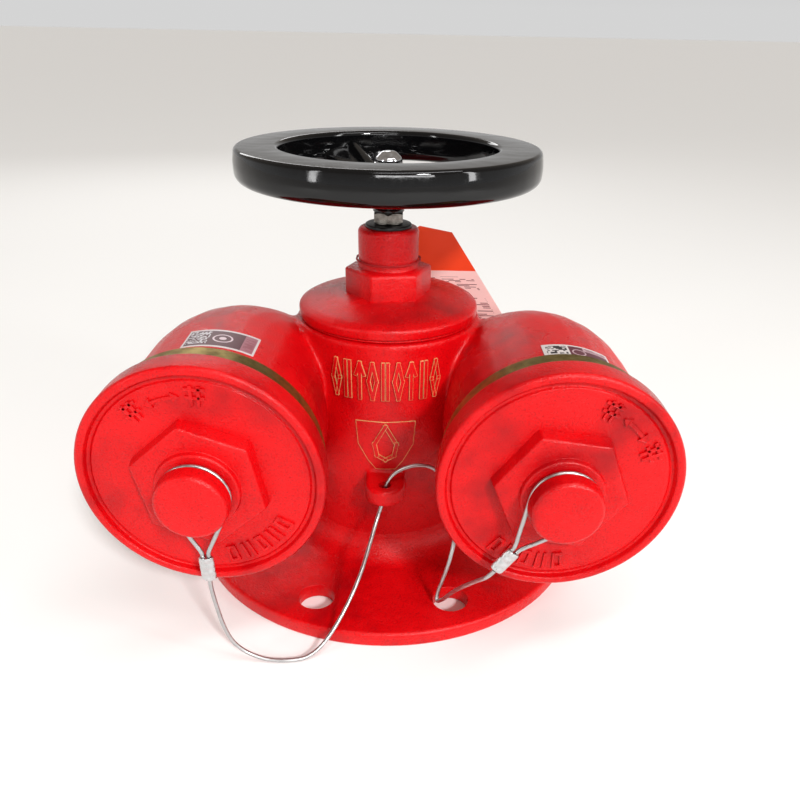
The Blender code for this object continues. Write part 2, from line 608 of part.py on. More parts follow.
# ---- Spindle and handwheel ----
def build_stem(frame):
    foot_top = FOOT_BOTTOM + STEM_FOOT_HEIGHT
    thread_top = PACKING_BOTTOM - LIFT - 1 * MM
    seat = SEAT_NUT_BOTTOM - FACE_GAP
    tip = WHEEL_NUT_BOTTOM + WHEEL_NUT_HEX_HEIGHT
    turned("stem", [
        (0, tip), (STEM_TIP_RADIUS - 0.6 * MM, tip), (STEM_TIP_RADIUS, tip - 0.6 * MM),
        (STEM_TIP_RADIUS, HUB_TOP - 3 * MM), (STEM_SEAT_RADIUS, HUB_TOP - 3 * MM),
        (STEM_SEAT_RADIUS, seat), (STEM_RADIUS, seat - 0.6 * MM), (STEM_RADIUS, thread_top),
        (STEM_THREAD_RADIUS, thread_top - 2 * MM), (STEM_THREAD_RADIUS, foot_top),
        (STEM_FOOT_RADIUS, foot_top), (STEM_FOOT_RADIUS, FOOT_BOTTOM), (0, FOOT_BOTTOM)],
        frame, STEEL, closed=False, steps=24)
    nut(frame, "wheel_seat_nut", SEAT_NUT_RADIUS, STEM_SEAT_RADIUS + STEM_GAP,
        SEAT_NUT_BOTTOM, SEAT_NUT_HEIGHT, STEEL)
    ring(frame, "wheel_washer", STEM_TIP_RADIUS + THREAD_GAP, WHEEL_WASHER_RADIUS, WASHER_BOTTOM,
         WHEEL_WASHER_THICKNESS, CHROME)
    build_dome_nut(frame)


def build_dome_nut(frame):
    bore = STEM_TIP_RADIUS + THREAD_GAP
    hex_top = WHEEL_NUT_BOTTOM + WHEEL_NUT_HEX_HEIGHT
    top = WHEEL_NUT_BOTTOM + WHEEL_NUT_HEIGHT
    dome_radius = WHEEL_NUT_RADIUS * 0.86
    dome_height = top - hex_top
    dome = [(dome_radius * math.sin(math.radians(a)), hex_top + dome_height
             * math.cos(math.radians(a))) for a in (0, 18, 36, 54, 72, 90)]
    nut_body = turned("wheel_nut", dome + [
        (dome_radius, WHEEL_NUT_BOTTOM), (bore, WHEEL_NUT_BOTTOM), (bore, hex_top + 1 * MM),
        (0, hex_top + 1.5 * MM)], frame, CHROME, closed=False, steps=24)
    hexagon = prism("wheel_nut_hexagon", WHEEL_NUT_RADIUS, WHEEL_NUT_BOTTOM,
                    WHEEL_NUT_HEX_HEIGHT, frame, top_radius=WHEEL_NUT_RADIUS - 0.4 * MM)
    cut = prism("wheel_nut_bore", bore + 0.5 * MM, WHEEL_NUT_BOTTOM - 1 * MM,
                WHEEL_NUT_HEX_HEIGHT + 2 * MM, frame, sides=24)
    combine(hexagon, cut, "DIFFERENCE")
    combine(nut_body, hexagon, "UNION")


def build_wheel(frame):
    rim_bottom = WHEEL_TOP - RIM_HEIGHT
    inner = WHEEL_RADIUS - RIM_WIDTH
    small = 2.5 * MM
    large = 8 * MM
    section = [(inner + 1.5 * MM, WHEEL_TOP)]
    section += arc((WHEEL_RADIUS - small, WHEEL_TOP - small), small, 90, 0, 4)
    section += arc((WHEEL_RADIUS - large, rim_bottom + large), large, 0, -90, 5)
    section += arc((inner + 4 * MM, rim_bottom + 4 * MM), 4 * MM, 270, 180, 3)
    section += [(inner, WHEEL_TOP - 1.5 * MM)]
    wheel = turned("handwheel", section, frame, BLACK, steps=36)
    hub_waist = HUB_BOTTOM + HUB_FOOT_HEIGHT
    hub = turned("wheel_hub", [
        (0, HUB_TOP), (HUB_RADIUS, HUB_TOP), (HUB_RADIUS, hub_waist),
        (HUB_FOOT_RADIUS, HUB_BOTTOM), (0, HUB_BOTTOM)], frame, closed=False, steps=24)
    combine(wheel, hub, "UNION")
    for i in range(SPOKE_COUNT):
        angle = SPOKE_START + 2 * math.pi * i / SPOKE_COUNT
        spoke_low = (HUB_TOP - SPOKE_DROP, rim_bottom + 2.5 * MM)
        spoke_high = (spoke_low[0] + SPOKE_THICKNESS, spoke_low[1] + SPOKE_THICKNESS)
        spoke = wedge(f"spoke_{i + 1}", (SPOKE_HUB_WIDTH, SPOKE_RIM_WIDTH), spoke_low, spoke_high,
                      frame)
        rib_low = (spoke_low[0] + 2 * MM, spoke_low[1] + 2 * MM)
        rib_high = (spoke_high[0] + RIB_HEIGHT, WHEEL_TOP - RIB_DROP)
        rib = wedge(f"rib_{i + 1}", (RIB_WIDTH, RIB_WIDTH), rib_low, rib_high, frame)
        for arm in (spoke, rib):
            arm.rotation_euler = (0, 0, angle)
            combine(wheel, arm, "UNION")
    bore = prism("hub_bore", STEM_SEAT_RADIUS + STEM_GAP, HUB_BOTTOM - 5 * MM,
                 HUB_LENGTH + 20 * MM, frame, sides=24)
    combine(wheel, bore, "DIFFERENCE")


def wedge(name, widths, lows, highs, frame):
    """Make a bar from inside the hub to inside the rim, from its sizes at the two ends."""
    start = HUB_RADIUS * 0.55
    end = WHEEL_RADIUS - RIM_WIDTH + 5 * MM
    mesh = bpy.data.meshes.new(name)
    shape = bmesh.new()
    bmesh.ops.create_cube(shape, size=1)
    for vert in shape.verts:
        outer = vert.co.x > 0
        height = (highs if vert.co.z > 0 else lows)[outer]
        vert.co = (end if outer else start, math.copysign(widths[outer] / 2, vert.co.y), height)
    shape.to_mesh(mesh)
    shape.free()
    return place(bpy.data.objects.new(name, mesh), frame)


# ---- Hose connections: nipples, caps, loops and ropes ----
def build_nipple(frame, word):
    spigot_start = TUBE_END - SOCKET_DEPTH + 1 * MM
    flange_front = NIPPLE_BACK + NIPPLE_FLANGE_WIDTH
    spigot = SOCKET_RADIUS - THREAD_GAP
    turned(word + "_nipple", [
        (NIPPLE_BORE, NIPPLE_FRONT), (NIPPLE_THREAD_RADIUS - 1 * MM, NIPPLE_FRONT),
        (NIPPLE_THREAD_RADIUS, NIPPLE_FRONT - 1 * MM), (NIPPLE_THREAD_RADIUS, flange_front),
        (NIPPLE_FLANGE_RADIUS, flange_front), (NIPPLE_FLANGE_RADIUS, NIPPLE_BACK),
        (spigot, NIPPLE_BACK), (spigot, spigot_start), (NIPPLE_BORE, spigot_start)],
        frame, BRASS)
    ring(frame, word + "_nipple_gasket", spigot + 2 * THREAD_GAP, NIPPLE_FLANGE_RADIUS - 1.5 * MM,
         TUBE_END + FACE_GAP, GASKET_THICKNESS, FIBRE, 28)


def build_cap(frame, word, hex_turn):
    rim_inner = CAP_RADIUS - CAP_RIM_WIDTH
    profile = [(0, KNOB_FRONT), (KNOB_RADIUS - KNOB_EDGE, KNOB_FRONT - 0.3 * MM),
               (KNOB_RADIUS, KNOB_FRONT - KNOB_EDGE), (KNOB_RADIUS, KNOB_BACK + 0.8 * MM),
               (KNOB_RADIUS - 0.8 * MM, KNOB_BACK), (GROOVE_RADIUS, KNOB_BACK),
               (GROOVE_RADIUS, COLLAR_FRONT), (COLLAR_RADIUS, COLLAR_FRONT),
               (COLLAR_RADIUS, CAP_FACE), (rim_inner - 2 * MM, CAP_FACE),
               (rim_inner - 1.5 * MM, CAP_FACE - 1 * MM), (rim_inner - 0.4 * MM, CAP_FACE - 1 * MM),
               (rim_inner, CAP_RIM), (CAP_RADIUS - CAP_EDGE, CAP_RIM),
               (CAP_RADIUS - 0.3 * CAP_EDGE, CAP_RIM - 0.3 * CAP_EDGE),
               (CAP_RADIUS, CAP_RIM - CAP_EDGE), (CAP_RADIUS, CAP_BACK + 1 * MM),
               (CAP_RADIUS - 1 * MM, CAP_BACK), (CAP_THREAD_RADIUS, CAP_BACK),
               (CAP_THREAD_RADIUS, CAP_FLOOR), (0, CAP_FLOOR)]
    cap = turned(word + "_cap", profile, frame, RED, closed=False, steps=32)
    base = CAP_FACE - 1 * MM
    boss = prism(word + "_cap_hexagon", CAP_HEX_RADIUS, base, HEX_FRONT - base, frame,
                 top_radius=CAP_HEX_TOP_RADIUS, turn=hex_turn)
    combine(cap, boss, "UNION")
    ring(frame, word + "_cap_gasket", NIPPLE_BORE - 0.5 * MM, NIPPLE_THREAD_RADIUS - 0.3 * MM,
         NIPPLE_FRONT + FACE_GAP, CAP_GASKET_THICKNESS, RUBBER, 28)


def build_loop(frame, word):
    """Make the rope eye round the knob's groove and the ferrule that closes it."""
    tangent = math.acos(LOOP_RADIUS / FERRULE_START)
    points = []
    side_offset = ROPE_RADIUS + FACE_GAP
    start = Vector((side_offset, -(FERRULE_START - FACE_GAP), LOOP_PLANE))
    first = Vector((LOOP_RADIUS * math.sin(tangent), -LOOP_RADIUS * math.cos(tangent), LOOP_PLANE))
    neck = Vector((side_offset * 1.3, -(FERRULE_START - 3 * MM), LOOP_PLANE))
    points += [start, neck, neck.lerp(first, 0.3), neck.lerp(first, 0.65)]
    turns = 14
    for i in range(turns + 1):
        angle = -math.pi / 2 + tangent + (2 * math.pi - 2 * tangent) * i / turns
        points.append(Vector((LOOP_RADIUS * math.cos(angle), LOOP_RADIUS * math.sin(angle),
                              LOOP_PLANE)))
    points += [Vector((-p.x, p.y, p.z)) for p in reversed(points[:4])]
    tilt = Matrix.Rotation(LOOP_TILT[word], 4, "Z")
    points = [tilt @ p for p in points]
    curve_tube(word + "_cable_loop", points, ROPE_RADIUS, frame, STEEL)
    ferrule = bmesh_box(word + "_ferrule", (0, -(FERRULE_START + FERRULE_LENGTH / 2), LOOP_PLANE),
                        (FERRULE_WIDTH, FERRULE_LENGTH, FERRULE_DEPTH), frame, ALUMINIUM)
    ferrule.rotation_euler = (0, 0, LOOP_TILT[word])
    bevel = ferrule.modifiers.new("Rounding", "BEVEL")
    bevel.width = 1.2 * MM
    bevel.segments = 2


def build_tether(frame, word, route):
    points = smooth_route([Vector(p) * MM for p in route], TETHER_STEP)
    curve_tube(word + "_tether", points, ROPE_RADIUS, frame, STEEL)


# ---- Hang tag on the neck ----
def build_tag(frame):
    half = TAG_WIDTH / 2
    outline = [(-half + TAG_CORNER, 0), (half - TAG_CORNER, 0), (half, -TAG_CORNER),
               (half, -TAG_LENGTH), (-half, -TAG_LENGTH), (-half, -TAG_CORNER)]
    curve = bpy.data.curves.new("hang_tag", "CURVE")
    curve.dimensions = "2D"
    curve.fill_mode = "BOTH"
    curve.extrude = TAG_THICKNESS / 2
    curve.render_resolution_u = 0
    hole = [(TAG_HOLE_RADIUS * math.cos(a), TAG_HOLE_RADIUS * math.sin(a) - TAG_HOLE_INSET)
            for a in (2 * math.pi * i / 12 for i in range(12))]
    for loop in (outline, hole):
        spline = curve.splines.new("POLY")
        spline.points.add(len(loop) - 1)
        for point, (x, y) in zip(spline.points, loop):
            point.co = (x, y, 0, 1)
        spline.use_cyclic_u = True
    middle = TAG_PLANE + TAG_THICKNESS / 2
    spot = make_frame("tag_frame", (TAG_TOP[0], middle, TAG_TOP[1]), frame, (math.pi / 2, 0, 0))
    tag = place(bpy.data.objects.new("hang_tag", curve), spot, CARD)
    tag.rotation_euler = (0, 0, TAG_TILT)

    eye = Vector((TAG_TOP[0] + TAG_HOLE_INSET * math.sin(TAG_TILT), middle,
                  TAG_TOP[1] - TAG_HOLE_INSET * math.cos(TAG_TILT)))
    radius = NECK_RADIUS + 0.5 * MM + STRING_RADIUS
    height = HEX_TOP + 4 * MM
    points = [eye + Vector((STRING_RADIUS + 0.4 * MM, 0, 0))]
    for i in range(17):
        angle = math.radians(70 - 320 * i / 16)
        points.append(Vector((radius * math.cos(angle), radius * math.sin(angle), height)))
    points.append(eye - Vector((STRING_RADIUS + 0.4 * MM, 0, 0)))
    curve_tube("tag_string", points, STRING_RADIUS, frame, FIBRE)


def main():
    frame = make_frame("hydrant_frame", (0, FRAME_Y, 0))
    build_body(frame)
    build_seat(frame)
    build_bonnet(frame)
    build_packing(frame)
    disc_frame = make_frame("disc_frame", (0, 0, 0), frame)
    build_disc(disc_frame)
    spindle_frame = make_frame("spindle_frame", (0, 0, 0), disc_frame)
    build_stem(spindle_frame)
    build_wheel(spindle_frame)
    hex_turns = {"left": math.radians(10), "right": math.radians(23)}
    routes = {"left": LEFT_ROUTE, "right": RIGHT_ROUTE}
    for word, side in SIDES.items():
        hose = make_frame(word + "_hose_frame", (side * HOSE_X, 0, HOSE_Z), frame,
                          (math.pi / 2, 0, 0))
        build_nipple(hose, word)
        build_cap(hose, word, hex_turns[word])
        build_loop(hose, word)
        build_tether(frame, word, routes[word])
    build_tag(frame)


main()
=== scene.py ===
"""Twin-hose fire hydrant valve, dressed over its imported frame.

Each sub-assembly is a class: it holds its sizes, models its pieces with the usual mesh tools and gives
them their finishes. Sizes are in metres, +Z is up and the hose caps face -Y.
"""
from __future__ import annotations

import json
import logging
import math
from contextlib import contextmanager
from dataclasses import dataclass
from enum import Enum
from typing import Callable, Iterator, Sequence

import bmesh
import bpy
import numpy as np
from mathutils import Matrix, Vector

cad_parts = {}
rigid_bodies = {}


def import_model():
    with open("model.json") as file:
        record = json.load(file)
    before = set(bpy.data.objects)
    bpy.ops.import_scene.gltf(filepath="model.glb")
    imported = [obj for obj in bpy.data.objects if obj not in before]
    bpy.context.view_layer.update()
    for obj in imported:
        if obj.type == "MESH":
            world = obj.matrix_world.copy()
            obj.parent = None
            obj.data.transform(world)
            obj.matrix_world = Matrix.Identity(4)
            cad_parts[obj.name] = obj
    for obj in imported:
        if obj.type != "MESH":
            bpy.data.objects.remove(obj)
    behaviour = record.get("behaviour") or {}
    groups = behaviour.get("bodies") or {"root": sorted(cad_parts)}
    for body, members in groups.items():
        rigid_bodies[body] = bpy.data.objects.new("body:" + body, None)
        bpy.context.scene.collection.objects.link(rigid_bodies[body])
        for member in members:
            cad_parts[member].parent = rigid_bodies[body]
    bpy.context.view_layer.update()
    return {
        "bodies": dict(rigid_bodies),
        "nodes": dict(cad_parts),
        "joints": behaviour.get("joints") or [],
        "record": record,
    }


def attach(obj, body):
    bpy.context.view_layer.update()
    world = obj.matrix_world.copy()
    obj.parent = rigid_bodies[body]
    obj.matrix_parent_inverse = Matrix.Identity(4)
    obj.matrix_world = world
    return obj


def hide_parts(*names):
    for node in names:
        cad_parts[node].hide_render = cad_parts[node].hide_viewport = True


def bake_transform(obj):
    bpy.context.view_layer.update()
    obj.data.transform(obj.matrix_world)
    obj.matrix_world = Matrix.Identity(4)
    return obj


log = logging.getLogger("hydrant")

MM = 0.001
AXIS_Y = 10 * MM  # the barrel's axis stands this far behind the origin
HOSE_X = 75 * MM
HOSE_Z = 94 * MM
BARREL_RADIUS = 47 * MM
TUBE_RADIUS = 47 * MM
UP = Matrix.Translation((0, AXIS_Y, 0))

Point = tuple[float, float]


class Side(Enum):
    """The two hose connections."""

    LEFT = -1
    RIGHT = 1

    @property
    def word(self) -> str:
        """Name used for the side's pieces."""
        return self.name.lower()

    @property
    def hose_frame(self) -> Matrix:
        """Matrix that stands a turned piece's Z along the hose, towards -Y."""
        return (Matrix.Translation((self.value * HOSE_X, AXIS_Y, HOSE_Z))
                @ Matrix.Rotation(math.pi / 2, 4, "X"))


# ---- Finishes ----
def linear(hex_colour: str) -> tuple[float, float, float, float]:
    """Turn an sRGB hex value into a linear colour.

    Args:
        hex_colour: six hex digits, such as "C81018".

    Returns:
        Linear red, green, blue and an alpha of 1.
    """
    parts = [int(hex_colour[i:i + 2], 16) / 255 for i in (0, 2, 4)]
    low = [c / 12.92 if c <= 0.04045 else ((c + 0.055) / 1.055) ** 2.4 for c in parts]
    return (low[0], low[1], low[2], 1.0)


def add_node(material: bpy.types.Material, kind: str, inputs: dict | None = None,
             stops: Sequence[tuple[float, object]] = (), **settings: object) -> bpy.types.Node:
    """Add one node with its settings, values and links.

    Args:
        material: the material whose tree takes the node.
        kind: the node's type name.
        inputs: value, or socket to link from, for each input by name or number.
        stops: positions and linear colours of a colour ramp.
        settings: properties set on the node itself.

    Returns:
        The new node.
    """
    node = material.node_tree.nodes.new(kind)
    for name, value in settings.items():
        setattr(node, name, value)
    for i, (position, colour) in enumerate(stops):
        ramp = node.color_ramp.elements
        stop = ramp[i] if i < len(ramp) else ramp.new(position)
        stop.position, stop.color = position, colour
    for key, value in (inputs or {}).items():
        if isinstance(value, bpy.types.NodeSocket):
            material.node_tree.links.new(value, node.inputs[key])
        else:
            node.inputs[key].default_value = value
    return node


@dataclass(frozen=True)
class Finish:
    """A surface finish: what it is made of and how it answers to light."""

    name: str
    slot: str
    colour: str
    roughness: float
    metallic: float = 0.0
    shine: float = 0.5  # specular level; metals keep the default

    def make(self) -> bpy.types.Material:
        """Return the finish's material, making it the first time."""
        found = bpy.data.materials.get(self.name)
        if found:
            return found
        material = bpy.data.materials.new(self.name)
        material.use_nodes = True
        shader = material.node_tree.nodes["Principled BSDF"]
        shader.inputs["Base Color"].default_value = linear(self.colour)
        shader.inputs["Roughness"].default_value = self.roughness
        shader.inputs["Metallic"].default_value = self.metallic
        shader.inputs["Specular IOR Level"].default_value = self.shine
        self.detail(material, shader)
        return material

    def place(self, material: bpy.types.Material) -> bpy.types.NodeSocket:
        """Return the piece's own object coordinates."""
        return add_node(material, "ShaderNodeTexCoord").outputs["Object"]

    def detail(self, material: bpy.types.Material, shader: bpy.types.Node) -> None:
        """Add the pattern of the finish; a plain one has none."""

    def link(self, material: bpy.types.Material, source: bpy.types.NodeSocket,
             shader: bpy.types.Node, socket: str) -> None:
        """Link a pattern to one of the shader's sockets."""
        material.node_tree.links.new(source, shader.inputs[socket])


@dataclass(frozen=True)
class CastEnamel(Finish):
    """Gloss enamel sprayed over a sand-cast surface: a fine pebble under a wet-looking film."""

    deep: str = "93030A"
    grain: float = 0.85 * MM
    relief: float = 0.30 * MM
    rub: str = ""

    def detail(self, material: bpy.types.Material, shader: bpy.types.Node) -> None:
        """Vary the red, paint shade into the hollows of the pebble, vary the gloss and the relief, and
        rub the paint off raised edges.
        """
        place = self.place(material)
        pebble = add_node(material, "ShaderNodeTexNoise", {
            "Vector": place, "Scale": 1 / self.grain, "Detail": 3.0, "Roughness": 0.55})
        wave = add_node(material, "ShaderNodeTexNoise", {
            "Vector": place, "Scale": 1 / (11 * MM), "Detail": 2.0})
        cloud = add_node(material, "ShaderNodeTexNoise", {
            "Vector": place, "Scale": 1 / (34 * MM), "Detail": 3.0, "Roughness": 0.6})
        tone = add_node(material, "ShaderNodeValToRGB", {"Fac": cloud.outputs["Fac"]}, stops=(
            (0.26, linear(self.deep)), (0.46, linear(self.colour)), (0.75, linear(self.bright()))))
        # Painted shade: where the pebble noise is low, which the bump below sinks, the red is mixed up
        # to 0.7 towards the darker red.
        pebble_hollow_shade = add_node(material, "ShaderNodeMapRange", {
            "Value": pebble.outputs["Fac"], "From Min": 0.28, "From Max": 0.48,
            "To Min": 0.7, "To Max": 0.0})
        hollow_shaded_red = add_node(material, "ShaderNodeMix", {
            "Factor": pebble_hollow_shade.outputs["Result"], "A": tone.outputs["Color"],
            "B": linear(self.deep)}, data_type="RGBA")
        colour = hollow_shaded_red.outputs["Result"]
        if self.rub:
            colour = self.rubbed(material, shader, place, colour)
        self.link(material, colour, shader, "Base Color")
        gloss = add_node(material, "ShaderNodeMapRange", {
            "Value": cloud.outputs["Fac"], "From Min": 0.3, "From Max": 0.7,
            "To Min": self.roughness - 0.07, "To Max": self.roughness + 0.10})
        self.link(material, gloss.outputs["Result"], shader, "Roughness")
        low = add_node(material, "ShaderNodeBump", {
            "Height": wave.outputs["Fac"], "Distance": 0.55 * MM, "Strength": 0.55})
        high = add_node(material, "ShaderNodeBump", {
            "Height": pebble.outputs["Fac"], "Distance": self.relief, "Strength": 1.0,
            "Normal": low.outputs["Normal"]})
        self.link(material, high.outputs["Normal"], shader, "Normal")

    def bright(self) -> str:
        """Return a slightly lighter red for the thick parts of the film."""
        parts = [int(self.colour[i:i + 2], 16) for i in (0, 2, 4)]
        return "".join(f"{min(255, round(c * 1.09 + 3)):02X}" for c in parts)

    def rubbed(self, material: bpy.types.Material, shader: bpy.types.Node,
               place: bpy.types.NodeSocket, colour: bpy.types.NodeSocket) -> bpy.types.NodeSocket:
        """Show the golden undercoat where the piece's "rub" attribute says the film wore off."""
        edge = add_node(material, "ShaderNodeAttribute", attribute_name="rub")
        patch = add_node(material, "ShaderNodeTexNoise", {
            "Vector": place, "Scale": 1 / (4.5 * MM), "Detail": 5.0, "Roughness": 0.7})
        amount = add_node(material, "ShaderNodeMath", {
            0: edge.outputs["Fac"], 1: patch.outputs["Fac"]}, operation="MULTIPLY")
        worn = add_node(material, "ShaderNodeMapRange", {
            "Value": amount.outputs["Value"], "From Min": 0.20, "From Max": 0.32})
        mixed = add_node(material, "ShaderNodeMix", {
            "Factor": worn.outputs["Result"], "A": colour, "B": linear(self.rub)},
            data_type="RGBA")
        metal = add_node(material, "ShaderNodeMath", {
            0: worn.outputs["Result"], 1: 0.5}, operation="MULTIPLY")
        self.link(material, metal.outputs["Value"], shader, "Metallic")
        return mixed.outputs["Result"]


@dataclass(frozen=True)
class DippedEnamel(Finish):
    """Thick black stoving enamel, dipped: a mirror film with a slow orange-peel wave."""

    def detail(self, material: bpy.types.Material, shader: bpy.types.Node) -> None:
        """Add the slow wave and a little dust in the gloss."""
        place = self.place(material)
        wave = add_node(material, "ShaderNodeTexNoise", {
            "Vector": place, "Scale": 1 / (13 * MM), "Detail": 1.0})
        dust = add_node(material, "ShaderNodeTexNoise", {
            "Vector": place, "Scale": 1 / (3 * MM), "Detail": 6.0, "Roughness": 0.7})
        gloss = add_node(material, "ShaderNodeMapRange", {
            "Value": dust.outputs["Fac"], "From Min": 0.45, "From Max": 0.8,
            "To Min": self.roughness, "To Max": self.roughness + 0.14})
        self.link(material, gloss.outputs["Result"], shader, "Roughness")
        bump = add_node(material, "ShaderNodeBump", {
            "Height": wave.outputs["Fac"], "Distance": 0.35 * MM, "Strength": 0.5})
        self.link(material, bump.outputs["Normal"], shader, "Normal")


@dataclass(frozen=True)
class TurnedMetal(Finish):
    """Bare metal off the lathe: rings of tool marks, stained unevenly."""

    stain: str = "3A3020"
    axis: str = "Z"
    pitch: float = 0.9 * MM  # a real feed is finer; this is as coarse as it needs to show

    def detail(self, material: bpy.types.Material, shader: bpy.types.Node) -> None:
        """Add the stain and the tool marks along the turning axis."""
        place = self.place(material)
        stain = add_node(material, "ShaderNodeTexNoise", {
            "Vector": place, "Scale": 1 / (8 * MM), "Detail": 6.0, "Roughness": 0.65})
        tone = add_node(material, "ShaderNodeValToRGB", {"Fac": stain.outputs["Fac"]}, stops=(
            (0.34, linear(self.stain)), (0.58, linear(self.colour))))
        self.link(material, tone.outputs["Color"], shader, "Base Color")
        gloss = add_node(material, "ShaderNodeMapRange", {
            "Value": stain.outputs["Fac"], "From Min": 0.35, "From Max": 0.65,
            "To Min": self.roughness + 0.15, "To Max": self.roughness - 0.05})
        self.link(material, gloss.outputs["Result"], shader, "Roughness")
        feed = add_node(material, "ShaderNodeTexWave", {
            "Vector": place, "Scale": 0.314 / self.pitch, "Distortion": 0.4},
            bands_direction=self.axis)
        bump = add_node(material, "ShaderNodeBump", {
            "Height": feed.outputs["Fac"], "Distance": 0.05 * MM, "Strength": 0.5})
        self.link(material, bump.outputs["Normal"], shader, "Normal")


@dataclass(frozen=True)
class GrainedMetal(Finish):
    """Plated or drawn metal with fine dull patches."""

    def detail(self, material: bpy.types.Material, shader: bpy.types.Node) -> None:
        """Dull the shine in small patches."""
        patch = add_node(material, "ShaderNodeTexNoise", {
            "Vector": self.place(material), "Scale": 1 / (1.8 * MM), "Detail": 5.0})
        gloss = add_node(material, "ShaderNodeMapRange", {
            "Value": patch.outputs["Fac"], "From Min": 0.35, "From Max": 0.7,
            "To Min": self.roughness - 0.04, "To Max": self.roughness + 0.16})
        self.link(material, gloss.outputs["Result"], shader, "Roughness")
        tone = add_node(material, "ShaderNodeMapRange", {
            "Value": patch.outputs["Fac"], "From Min": 0.3, "From Max": 0.7,
            "To Min": 0.82, "To Max": 1.0})
        shade = add_node(material, "ShaderNodeMix", {
            "Factor": 1.0, "A": linear(self.colour), "B": tone.outputs["Result"]},
            data_type="RGBA", blend_type="MULTIPLY")
        self.link(material, shade.outputs["Result"], shader, "Base Color")
        bump = add_node(material, "ShaderNodeBump", {
            "Height": patch.outputs["Fac"], "Distance": 0.05 * MM, "Strength": 0.4})
        self.link(material, bump.outputs["Normal"], shader, "Normal")


@dataclass(frozen=True)
class PressedSheet(Finish):
    """Rubber, fibre or string: dull, with a short grain."""

    grain: float = 0.7 * MM

    def detail(self, material: bpy.types.Material, shader: bpy.types.Node) -> None:
        """Add the short grain to the colour and the relief."""
        grain = add_node(material, "ShaderNodeTexNoise", {
            "Vector": self.place(material), "Scale": 1 / self.grain, "Detail": 4.0})
        tone = add_node(material, "ShaderNodeMapRange", {
            "Value": grain.outputs["Fac"], "From Min": 0.3, "From Max": 0.7,
            "To Min": 0.7, "To Max": 1.1})
        shade = add_node(material, "ShaderNodeMix", {
            "Factor": 1.0, "A": linear(self.colour), "B": tone.outputs["Result"]},
            data_type="RGBA", blend_type="MULTIPLY")
        self.link(material, shade.outputs["Result"], shader, "Base Color")
        bump = add_node(material, "ShaderNodeBump", {
            "Height": grain.outputs["Fac"], "Distance": 0.1 * MM, "Strength": 0.6})
        self.link(material, bump.outputs["Normal"], shader, "Normal")


